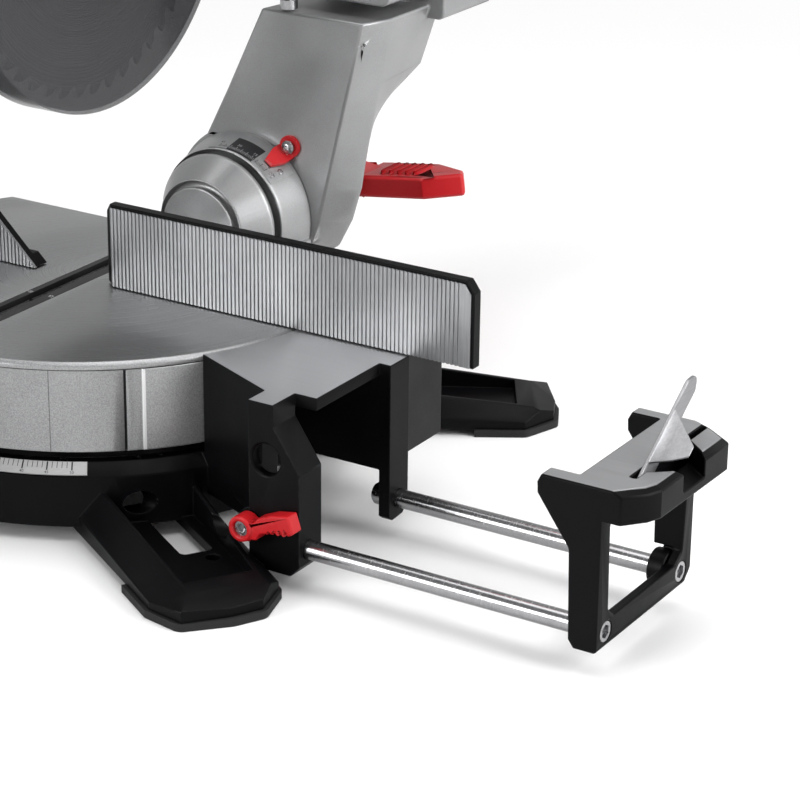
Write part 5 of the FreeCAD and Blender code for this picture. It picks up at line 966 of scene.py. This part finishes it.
# The lower guard: a clear moulding in smoked polycarbonate, with fine scuffs from the dust. It
# turns on the arbor and swings back as the head drops.
smoke = Finish("smoked_polycarbonate")
haze = smoke.noise(0.04, 3)
scuff = smoke.noise(0.0016, 4, 0.7, smoke.stretched(1, 0.15, 1))
tint = smoke.blend(haze, (0.030, 0.030, 0.034), (0.042, 0.042, 0.048))
tint = smoke.blend(smoke.fade(scuff, 0.62, 0.8), tint, (0.10, 0.10, 0.11))
dress("lower_guard", smoke.finish(tint, smoke.fade(scuff, 0.3, 0.8, 0.10, 0.30), 0.0,
                                  smoke.bump(scuff, 0.00001, 0.4), Alpha=0.62, Specular_IOR_Level=0.5))

# The pull-out work supports: black castings with ground tops on two steel rods, with socket-head
# screws in their ends whose sockets hold painted shade, and a fold-up work stop of brushed stainless
# sheet on a hinge pin.
support_paint = black_casting("support_black_powder_coat", table_top)
rod_steel = ground_rod("support_rod_steel", run=(1, 0.3, 0.3), light=(0.46, 0.46, 0.47))
stop_metal = machined("stainless_sheet", (0.24, 0.24, 0.25), (0.36, 0.36, 0.37), run=(1, 0.05, 1),
                      rough=(0.32, 0.44))
support_rods = (-0.128, -0.0337)
support_rod_z = 0.025
socket_radius = 0.0028
socket = Finish("zinc_socket_screws")
from_rods = [socket.reach((0, y, support_rod_z), (0, 1, 1)) for y in support_rods]
# Painted shade: the hex sockets in the screws' heads are painted near-black and barely metallic, as the shade
# inside them.
socket_shade = socket.fade(socket.maths("MINIMUM", *from_rods), socket_radius, socket_radius + 0.0002, 1.0, 0.0)
cloud = socket.noise(0.004, 4)
socket_tone = socket.blend(cloud, (0.40, 0.40, 0.41), (0.60, 0.60, 0.61))
socket_tone = socket.blend(socket_shade, socket_tone, (0.015, 0.015, 0.017))
socket_zinc = socket.finish(socket_tone, socket.fade(cloud, 0.3, 0.7, 0.24, 0.36), 1 - socket_shade * 0.9,
                            socket.bump(cloud, 0.00001, 0.5))
for side in ("left", "right"):
    dress("extension_bracket_" + side, support_paint)
    eased("extension_bracket_" + side, 0.001)
    dress("extension_rods_" + side, rod_steel)
    dress("extension_pins_" + side, socket_zinc)
    dress("work_stop_" + side, stop_metal)
    eased("work_stop_" + side, 0.0004)

# The clamp levers: short levers moulded in red nylon on zinc-plated screws. Each screw presses
# on a support's rod and holds it where it is pulled out to.
for side in ("left", "right"):
    dress("clamp_lever_" + side, red_plastic)
    eased("clamp_lever_" + side, 0.001)
    dress("clamp_screw_" + side, zinc)

# The studio: a pale paper floor that turns white in the distance, three soft boxes in a room
# with one bright side, and the camera at the photograph's place and angle.
floor_reach = 12.0
floor_corners = [(x * floor_reach, y * floor_reach, 0) for x, y in ((-1, -1), (1, -1), (1, 1), (-1, 1))]
floor_mesh = bpy.data.meshes.new("studio_floor")
floor_mesh.from_pydata(floor_corners, [], [(0, 1, 2, 3)])
floor = bpy.data.objects.new("studio_floor", floor_mesh)
bpy.context.scene.collection.objects.link(floor)
paper = Finish("studio_paper")
seen = paper.node("ShaderNodeLightPath", out="Is Camera Ray")
fibre = paper.noise(0.004, 3)
paper_tone = paper.blend(seen, (0.80, 0.80, 0.80), (0.97, 0.97, 0.97))
paper.finish(paper_tone, paper.fade(fibre, 0.3, 0.7, 0.86, 0.94))
glow = paper.node("ShaderNodeEmission", None, {"Color": (1, 1, 1), "Strength": 1.0})
far = paper.fade(paper.reach((0, 0, 0), (1, 1, 0)), 0.75, 1.6) * seen
both = paper.node("ShaderNodeMixShader", None, {
    0: far, 1: Wire(paper, paper.surface.outputs[0]), 2: glow})
paper.feed(paper.tree.nodes["Material Output"].inputs["Surface"], both)
floor_mesh.materials.append(paper.material)

world = bpy.data.worlds.new("studio_air")
bpy.context.scene.world = world
world.use_nodes = True
air = Tree(world.node_tree)
straight = air.node("ShaderNodeLightPath", out="Is Camera Ray")
through = air.node("ShaderNodeLightPath", out="Is Transmission Ray")
white = air.maths("MAXIMUM", straight, through)
aim = air.node("ShaderNodeTexCoord", out="Generated")
aim_x, aim_y, aim_z = (air.node("ShaderNodeSeparateXYZ", None, {0: aim}, axis) for axis in "XYZ")
wall = air.node("ShaderNodeMapRange", {"clamp": True}, {
    "Value": aim_x * 0.75 + aim_y * 0.65, "From Min": -0.9, "From Max": 0.9, "To Min": 0.20, "To Max": 0.95})
ceiling = air.node("ShaderNodeMapRange", {"clamp": True}, {
    "Value": aim_z, "From Min": 0.1, "From Max": 1.0, "To Min": 1.0, "To Max": 0.55})
room = wall * ceiling
backdrop = world.node_tree.nodes["Background"]
air.feed(backdrop.inputs["Color"], (1, 1, 1))
air.feed(backdrop.inputs["Strength"], white * (1 - room) + room)


def soft_box(name, place, target, width, height, watts):
    """Lamp of that width and height at place, facing target."""
    lamp = bpy.data.lights.new(name, "AREA")
    lamp.shape = "RECTANGLE"
    lamp.size = width
    lamp.size_y = height
    lamp.energy = watts
    holder = bpy.data.objects.new(name, lamp)
    holder.location = place
    holder.rotation_mode = "QUATERNION"
    holder.rotation_quaternion = (Vector(target) - Vector(place)).to_track_quat("-Z", "Y")
    bpy.context.scene.collection.objects.link(holder)


soft_box("top_box", (0.2, 0.1, 2.4), (0.1, 0, 0.1), width=2.2, height=1.8, watts=34)
soft_box("front_box", (-0.9, -2.5, 1.0), (0, 0, 0.15), width=1.3, height=1.2, watts=44)
soft_box("right_box", (2.3, 0.3, 1.2), (0.2, 0, 0.15), width=1.1, height=1.5, watts=40)

eye_place = Vector((1.09066, -1.3836, 0.72639))
eye_azimuth = math.radians(31.617)
eye_elevation = math.radians(21.8437)
eye_roll = math.radians(-0.6901)
level_ahead = Vector((-math.sin(eye_azimuth), math.cos(eye_azimuth), 0))
ahead = level_ahead * math.cos(eye_elevation) - Vector((0, 0, math.sin(eye_elevation)))
level_right = Vector((math.cos(eye_azimuth), math.sin(eye_azimuth), 0))
level_down = ahead.cross(level_right)
frame_right = level_right * math.cos(eye_roll) + level_down * math.sin(eye_roll)
frame_down = level_down * math.cos(eye_roll) - level_right * math.sin(eye_roll)
eye = bpy.data.cameras.new("photo_view")
eye.sensor_width = 36
eye.lens = 124.56
eye.clip_end = 60
camera = bpy.data.objects.new("photo_view", eye)
camera.matrix_world = Matrix.Translation(eye_place) @ Matrix(
    (frame_right, -frame_down, -ahead)).transposed().to_4x4()
bpy.context.scene.collection.objects.link(camera)
bpy.context.scene.camera = camera
bpy.context.scene.view_settings.view_transform = "Standard"
